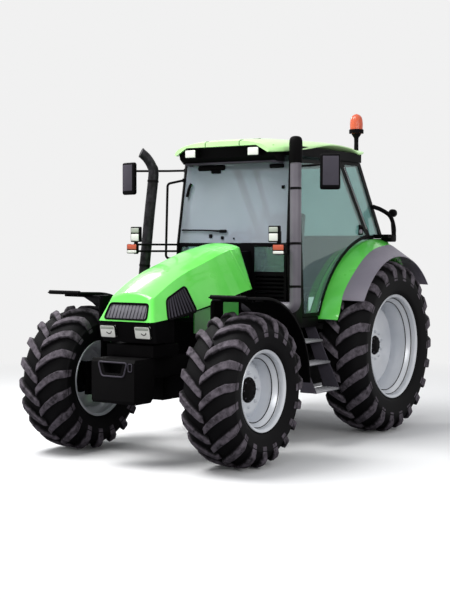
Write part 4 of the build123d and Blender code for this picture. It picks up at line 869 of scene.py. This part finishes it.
# %% Beacon
UPRIGHT = [(1, 0, 0), (0, 0, 1), (0, 1, 0)]      # stands a form that was spun about Y on its axis
low, high, middle = box_of("beacon_lens")
seat = np.array((middle[0], middle[1], low[2]))
r, z = through([(0.0, 0.0), (0.06, 0.0), (0.066, 0.012), (0.07, 0.06), (0.07, 0.12), (0.06, 0.175),
                (0.035, 0.205), (0.0, high[2] - low[2])], 4).T
angle = around(96)[:, None]
ribbed = r * (1 + 0.02 * np.abs(np.sin(angle * 12)))
dome = grid(np.stack([ribbed * np.cos(angle), ribbed * np.sin(angle), z + 0 * angle], axis=-1), close_u=True)
piece("beacon_dome", shifted(dome, *seat), "orange_lens", replaces="beacon_lens")
collar = spun([(0.0, 0.0), (0.08, 0.0), (0.081, 0.006), (0.081, 0.04), (0.074, 0.046), (0.071, 0.046),
               (0.071, 0.03), (0.0, 0.03)], closed=False, segments=48)
piece("beacon_collar", placed(collar, seat, UPRIGHT), "black_plastic")
foot = np.array([(0.026, 3.095), (0.024, 3.2), (0.026, 3.25), (0.05, 3.285), (0.056, 3.301)])
piece("beacon_foot", tube([(*seat[:2], z) for z in foot[:, 1]], foot[:, 0], 24), "black_plastic")

# %% Mirrors
mirror_z = box_of("mirrors")[2][2]


def turned_in(form, degrees):
    """A mirror part, turned about the upright by some degrees so that its glass looks at the driver."""
    c, s = math.cos(math.radians(degrees)), math.sin(math.radians(degrees))
    return placed(form, (0.537, 1.246, mirror_z), [(c, s, 0), (-s, c, 0), (0, 0, 1)])


for name, form, finish, *more in (
        ("mirror_shells", block((-0.028, -0.1, -0.175), (0.024, 0.1, 0.175), 0.024, 6),
         "black_plastic", None, "mirrors"),
        # A grey panel on each black shell's back: a painted highlight on the black moulding
        ("mirror_backs", block((0.01, -0.072, -0.135), (0.0275, 0.086, 0.152), 0.012, 4),
         "slat_grey", "black_plastic"),
        ("mirror_glasses", block((-0.031, -0.086, -0.156), (-0.025, 0.086, 0.156), 0.003),
         "mirror_silver", "bare_steel")):
    piece(name, join(turned_in(form, 26), mirrored(turned_in(form, 10))), finish, "chassis", *more)
print("lamps, beacon and mirrors made")

# %% [markdown]
# ## Air intake and exhaust
# The intake is a long steel pipe with an elbow below and a fat moulded cap on top. The exhaust
# has a perforated heat guard, and its end is cut slanting so that rain runs off. Both are circles
# carried along a path. The guard's holes are far too many to model, so they are bump.

# %% Intake
elbow, pipe_top = np.array((0.52, 0.85, 1.42)), np.array((0.45, 0.805, 2.87))
path = rounded([(0.52, 0.2405, 1.42), elbow, pipe_top], 0.075, steps=10)
piece("intake_pipe", tube(path, 0.0565, 32), "pipe_grey", replaces="intake_stack", slot="grey_plastic")
# The cap's radius, and how far up its leaning line each radius stands
cap = np.array([(0.064, 0.0), (0.067, 0.006), (0.067, 0.2), (0.0655, 0.225), (0.06, 0.246), (0.05, 0.26),
                (0.034, 0.268), (0.012, 0.2715)])
low, high = np.array((0.4495, 0.8045, 2.868)), np.array((0.436, 0.796, 3.138))
piece("intake_cap", tube(low + cap[:, 1:] / cap[-1, 1] * (high - low), cap[:, 0], 32), "black_plastic",
      sharp=50)
straps = [elbow + (z - 1.42) / (2.87 - 1.42) * (pipe_top - elbow) for z in (1.62, 2.05, 2.6)]
straps = [tube([place, place + (-0.0012, -0.0008, 0.025)], 0.0585, 32) for place in straps]
piece("intake_straps", join(*straps), "black_frame")

# %% Exhaust
SIDES = 28                                       # corners of each ring of the pipe
keys = [(0.7, -0.95, 1.48), (0.683, -0.91, 1.93), (0.666, -0.87, 2.38), (0.65, -0.83, 2.79),
        (0.664, -0.842, 2.88), (0.704, -0.877, 2.965), (0.752, -0.919, 3.022)]
stack = through(keys, 8)
elbow = rounded([(0.7, -0.3125, 1.48), keys[0], keys[1]], 0.06, steps=8)[:-1]
path = np.concatenate([elbow, stack[4:]])
radius = np.interp(path[:, 2], [1.48, 1.6, 2.78, 2.86, 3.03], [0.05, 0.056, 0.056, 0.052, 0.05])
points, faces = tube(path, radius, SIDES)
# The end is cut slanting: its last ring leans out along the pipe, more on the outer side
last = points[-SIDES:]
lean = (last - last.mean(0)) @ np.array((-0.8, 0.6, 0.0))
points[-SIDES:] = last + np.array((0.45, -0.4, 0.8)) * (lean / 0.05 * 0.022)[:, None]
piece("exhaust_pipe", (points, faces), "heat_guard", replaces="exhaust_stack", slot="black_frame")
steps = stack[[7, 23]] - stack[[6, 22]]
ends = stack[[6, 22]] + steps / np.linalg.norm(steps, axis=1, keepdims=True) * 0.022
clamps = [tube([start, end], 0.06, SIDES) for start, end in zip(stack[[6, 22]], ends)]
piece("exhaust_clamps", join(*clamps), "black_frame")
print("pipes made")

# %% [markdown]
# ## Bonnet tail, steps and rear lamp brackets
# Behind the bonnet's slanting edge a fixed green panel carries its line on to the cab. It has
# the same cross-section as the bonnet, so it is laid on the same formula for the flank. The
# steps are pressed aluminium treads between two dark side plates, and each tread has five
# raised bars for grip.

# %% Bonnet tail
tail_crown = np.array([(0.56, 2.082), (0.82, 2.035), (1.137, 1.955)])     # x, height of the middle line


def tail_edge(share):
    """A cross-section of the tail: share 0 is its upright rear edge, 1 the bonnet's slanting one."""
    z = np.concatenate([np.linspace(1.6, 2.0, 9), [2.022, 2.04, 2.052]])
    front = np.interp(z, [1.5, 1.58, 1.995, 2.2], [0.59, 0.62, 0.82, 0.838]) - 0.006
    back = np.interp(z, [1.6, 2.05], [0.6, 0.64])
    x = back + share * np.maximum(front - back, 0.0)
    top_z = np.interp(x, bonnet_rows[:, 0], bonnet_rows[:, 2])
    crown = np.interp(x, *tail_crown.T)
    over = np.clip((z - top_z) / (crown - top_z), 0, 1)
    y = np.where(z < top_z, flank(x, z), flank(x, top_z) * np.sqrt(1 - over))
    return np.stack([x, y, np.minimum(z, crown)], axis=1)


sheet = np.stack([tail_edge(share) for share in np.linspace(0, 1, 9)])
x, y, z = sheet[:, -1].T
crown = np.interp(x, *tail_crown.T)
across = np.cos(np.linspace(0, np.pi / 2, 8))[1:]
top = np.stack([np.repeat(x[:, None], len(across), 1), y[:, None] * across,
                crown[:, None] - (crown - z)[:, None] * across ** 2], axis=-1)
half_sheet = np.concatenate([sheet, top], axis=1)
whole = np.concatenate([half_sheet, (half_sheet * (1, -1, 1))[:, -2::-1]], axis=1)
made = piece("bonnet_tail", grid(whole), "green_paint", sharp=40)
wall = made.modifiers.new("wall", "SOLIDIFY")
wall.thickness, wall.offset = 0.004, -1.0
print("bonnet tail:", len(made.data.polygons), "faces")

# %% Steps
low, high, _ = box_of("steps")
left_x, right_x, tread_y, plate_t = low[0], high[0], 0.19, 0.012
treads = []
for z, y in ((1.07, 0.64), (0.85, 0.73), (0.58, 0.83)):
    treads.append(block((left_x + 0.014, y, z - 0.024), (right_x - 0.014, y + tread_y, z), 0.006))
    treads += [block((left_x + 0.03, row - 0.006, z - 0.004), (right_x - 0.03, row + 0.006, z + 0.005), 0.003)
               for row in np.linspace(y + 0.025, y + tread_y - 0.025, 5)]
piece("step_treads", both(join(*treads)), "bare_steel", replaces="steps")
outline = [(0.6, high[2]), (0.73, high[2]), (1.03, 0.56), (0.85, 0.56)]
plates = [prism(outline, 0, x, x + plate_t) for x in (left_x, right_x - plate_t)]
made = piece("step_side_plates", both(join(*plates)), "slat_grey", slot="black_frame")
edges = made.modifiers.new("edges", "BEVEL")
edges.width, edges.segments, edges.limit_method = 0.003, 2, "ANGLE"

# %% Rear lamp brackets
pod = block((-1.64, 0.77, 2.088), (-1.5, 0.906, 2.172), 0.018, 5)
shelf = block((-1.636, 0.7, 2.132), (-1.42, 0.904, 2.172), 0.012, 5)
strut = tube(through([(-1.612, 0.884, 2.15), (-1.606, 0.884, 2.26), (-1.56, 0.86, 2.38),
                      (-1.48, 0.79, 2.45), (-1.4, 0.722, 2.486)], 6), 0.024, 14)
piece("rear_lamp_brackets", both(join(pod, shelf, strut)), "black_plastic")
print("steps and brackets made")

# %% [markdown]
# ## Inside the cab
# Through the glass one sees a sprung seat, a steering wheel and a few levers. The seat is foam
# under cloth: it is crowned, and its sides pull in between the corners. Moving vertices by hand
# rarely looks soft, so a smaller block is blown up a little by a cloth simulation. How far each
# point may move is capped, because the pad has to stay in its place. The sewn channels are
# pressed in afterwards, as the remesh would remove them.


# %% Padded pieces
GROOVE = 0.007                                   # depth of a sewn channel, and its spread


def padded(name, form, cap, channels, out):
    """Foam under cloth: remesh, 20 frames of pressure, moves capped; channels sink by a Gaussian."""
    made = piece(name, form, "seat_fabric")
    remesh = made.modifiers.new("remesh", "REMESH")
    remesh.mode, remesh.voxel_size = "VOXEL", 0.006
    shape = bpy.data.meshes.new_from_object(made.evaluated_get(bpy.context.evaluated_depsgraph_get()))
    made.modifiers.clear()
    shape.name, made.data = name, shape
    start = np.empty(len(shape.vertices) * 3)
    shape.vertices.foreach_get("co", start)
    cloth = made.modifiers.new("cloth", "CLOTH")
    cloth.settings.use_pressure, cloth.settings.uniform_pressure_force = True, 4.0
    cloth.settings.effector_weights.gravity = 0.0
    for step in range(1, 21):
        scene.frame_set(step)
    blown = made.evaluated_get(bpy.context.evaluated_depsgraph_get()).data
    end = np.empty_like(start)
    blown.vertices.foreach_get("co", end)
    made.modifiers.clear()
    scene.frame_set(1)
    start, move = start.reshape(-1, 3), (end - start).reshape(-1, 3)
    reach = np.linalg.norm(move, axis=1, keepdims=True)
    points = start + move * np.minimum(1, cap / np.maximum(reach, 1e-9))
    for axis, place in channels:
        points -= np.array(out) * GROOVE * np.exp(-((points[:, axis, None] - place) / GROOVE) ** 2)
    shape.vertices.foreach_set("co", points.ravel())
    shape.shade_smooth()
    shape.materials.clear()
    shape.materials.append(finishes["seat_fabric"])
    smooth = made.modifiers.new("smooth", "SUBSURF")
    smooth.levels = smooth.render_levels = 1
    return made


cushion = block((-0.706, -0.226, 1.712), (-0.264, 0.226, 1.806), 0.04, 5)
made = padded("seat_cushion", cushion, 0.01, [(1, -0.11), (1, 0.11), (0, -0.45)], (0, 0, 1))
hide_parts("seat")
points, faces = block((0.0, -0.216, 1.834), (1.0, 0.216, 2.406), 0.04, 5)
share = (points[:, 2] - 1.8203) / (2.42 - 1.8203)     # the backrest leans back and thins upwards
points[:, 0] = (-0.708 - 0.07 * share) + points[:, 0] * (0.096 - 0.03 * share)
padded("seat_backrest", (points, faces), 0.008, [(1, -0.11), (1, 0.11), (2, 2.2)], (1, 0, 0))
print("seat:", "blown up by cloth simulation")

# %% Steering wheel and levers
axis = np.array((-120, 0, 170)) / math.hypot(120, 170)
wheel_axes = [np.cross((0, 1, 0), axis), (0, 1, 0), axis]
angle = around(48)
rim = tube(laid(0.2 * np.stack([np.cos(angle), np.sin(angle)], axis=1), 2, 0), 0.0145, 12, closed=True)
reach, rise = np.array([(0.03, 0.004), (0.11, -0.01), (0.195, 0.0)]).T
spokes = [tube(through(np.stack([reach * math.cos(a), reach * math.sin(a), rise], axis=1), 4), 0.01)
          for a in np.radians((90, 210, 330))]
boss = spun([(0, -0.014), (0.044, -0.01), (0.048, 0.0), (0.044, 0.018), (0.02, 0.026), (0, 0.027)],
            segments=32, closed=False)
wheel = join(rim, placed(boss, (0, 0, 0), UPRIGHT), *spokes)
piece("steering_wheel", placed(wheel, (0.075, 0, 2.06), wheel_axes), "black_plastic")
levers, knobs = [], []
for x, y, height in ((-0.18, -0.42, 0.2), (-0.24, -0.46, 0.26), (-0.34, -0.44, 0.16), (-0.44, -0.44, 0.14)):
    top = (x + 0.03, y, 1.8 + height)
    levers.append(tube(through([(x, y, 1.795), (x + 0.005, y, 1.8 + height / 2), top], 5), 0.008))
    knobs.append(shifted(block((-0.02, -0.018, -0.03), (0.02, 0.018, 0.03), 0.016, 4), *top))
for radius, *points in (
        (0.009, (0.14, 0.215, 1.7), (0.12, 0.24, 1.92), (0.1, 0.26, 2.16), (0.08, 0.25, 2.24)),
        (0.012, (0.08, 0.25, 2.24), (0.05, 0.25, 2.2), (0.03, 0.25, 2.25), (0.02, 0.25, 2.3))):
    levers.append(tube(through(points, 6), radius))
piece("levers", join(*levers), "black_frame")
piece("lever_knobs", join(*knobs), "black_plastic")
print("cab fitted out")

# %% [markdown]
# ## Small parts
# Wiper, door handles, guard lips and the tow jaw's rim are small, but they are what the eye
# checks first. A thin lip stiffens each front mudguard's edge, and it is only a tube along that
# edge. The rest are short paths or small rounded blocks, placed by the same formulas as the CAD:
# the windscreen leans back by 100 mm in 830 mm, and the cab's sides lean in by 2.36 degrees.


# %% Screen and side planes
def on_screen(y, z, out=0.0):
    """A point a little way out from the windscreen's outer face."""
    return 0.405 - (z - 2.07) / 0.83 * 0.1 + out, y, z


def side_y(z, out=0.0):
    """Half width a little way out from the cab's side at a height."""
    return 0.765 - (z - 1.306) * math.tan(math.radians(2.36)) + out


# %% Wiper and screen fittings
rods = [  # radius, sides, then y, z and distance out of each point: blade and arm
    (0.0075, 8, (-0.64, 2.205, 0.008), (-0.4, 2.203, 0.01), (-0.115, 2.196, 0.008)),
    (0.006, 8, (-0.085, 2.185, 0.016), (-0.25, 2.196, 0.022), (-0.38, 2.203, 0.014))]
blocks = [  # y, z, distance out, low corner, high corner, edge radius, cells
    (-0.1, 2.19, 0.01, (-0.012, -0.05, -0.016), (0.016, 0.04, 0.018), 0.012, 4)]
for y, z, r in ((-0.265, 2.14, 0.02), (-0.115, 2.122, 0.017), (0.03, 2.115, 0.01), (0.59, 2.64, 0.018)):
    blocks.append((y, z, 0.0, (-0.006, -r, -r), (0.008, r, r), r * 0.98, 5))
for y, z, w, h in ((-0.31, 2.862, 0.17, 0.03), (-0.25, 2.825, 0.06, 0.026), (0.5, 2.858, 0.085, 0.022)):
    blocks.append((y, z, 0.0, (-0.008, -w, -h), (0.02, w, h), 0.014, 4))
sensor = [(-0.6, 2.56, 0.014), (-0.58, 2.64, 0.016), (-0.555, 2.7, 0.014)]
forms = [tube([on_screen(*point) for point in points], radius, sides) for radius, sides, *points in rods]
forms += [shifted(block(*size), *on_screen(y, z, out)) for y, z, out, *size in blocks]
forms.append(tube(through([on_screen(*point) for point in sensor], 5), 0.016))
piece("wiper_and_screen_fittings", join(*forms), "black_plastic")

# %% Door handles
cup = block((-1.125, side_y(2.22, -0.004), 2.16), (-1.045, side_y(2.22, 0.016), 2.275), 0.012, 5)
bar = tube(through([(-1.095, side_y(2.27, 0.004), 2.268), (-1.1, side_y(2.22, 0.028), 2.225),
                    (-1.09, side_y(2.17, 0.006), 2.168)], 5), 0.009)
button = [(0.0, 0.0), (0.026, 0.0), (0.026, 0.012), (0.02, 0.018), (0.0, 0.019)]
button = shifted(spun(button, segments=24, closed=False), -1.062, side_y(2.2, 0.012), 2.2)
for side in ("left", "right"):
    piece(f"door_handle_{side}", on_side(join(cup, bar), side), "black_plastic", f"{side}_door")
    piece(f"door_button_{side}", on_side(button, side), "grey_plastic", f"{side}_door")

# %% Heating line on the quarter windows
rise = np.linspace(0, 1, 34)
z = 2.89 - 0.65 * rise
line = np.stack([-0.755 - 0.475 * rise, side_y(z, 0.002), z], axis=1)
bead = block((-0.006, -0.003, -0.006), (0.006, 0.003, 0.006), 0.0028, 2)
beads = repeated(bead, np.broadcast_to(np.eye(3), (len(line), 3, 3)), line)
piece("quarter_window_beads", both(beads), "rim_silver")

# %% Mudguard lips
wheel = box_of("front_tyre_left")[2]
guard_r, tip_x = 0.843, wheel[0] + 0.262
turn = np.radians(np.linspace(178, 92, 15))
arc = np.stack([wheel[0] + guard_r * np.cos(turn), wheel[2] + guard_r * np.sin(turn)], axis=1)
arc = np.concatenate([arc, [(tip_x, wheel[2] + guard_r + 0.01)]])
lip = tube(rounded(np.concatenate([laid(arc, 1, 1.176), laid(arc, 1, 0.774)[::-1]]), 0.03, steps=4), 0.0135)
nose = tube([(tip_x, y, arc[-1, 1] + 0.002) for y in (0.782, 1.168)], 0.02, 14)
stays = [tube(rounded([(x, 0.668, 1.3), (x, 0.668, 1.535), (x, 1.12, 1.538)], 0.04), 0.012)
         for x in wheel[0] + np.array((-0.085, 0.085))]
for side in ("left", "right"):
    form = on_side(join(lip, nose, *stays), side)
    piece(f"front_guard_lip_{side}", form, "black_plastic", f"{side}_knuckle")

# %% Tow jaw rim
soft = bpy.data.objects["front_frame_soft"].data
points = np.empty(len(soft.vertices) * 3)
soft.vertices.foreach_get("co", points)
face = points[::3].max()
points[::3] = np.minimum(points[::3], face - 0.012)        # room for the rim inside the overall length
soft.vertices.foreach_set("co", points)
outlines = [  # corners in y and z, bend, radius, sides
    ([(-0.168, 0.972), (0.168, 0.972), (0.128, 0.842), (-0.128, 0.842)], 0.03, 0.0075, 10),
    ([(0.18, 0.965), (0.225, 0.965), (0.222, 0.895), (0.184, 0.895)], 0.012, 0.0045, 8)]
rims = [tube(laid(loop(corners, bend), 0, face - 0.01), radius, sides, closed=True)
        for corners, bend, radius, sides in outlines]
piece("tow_jaw_rim", join(*rims), "slat_grey", slot="black_frame")
print("small parts made")

# %% Sizes and finish
low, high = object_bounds()
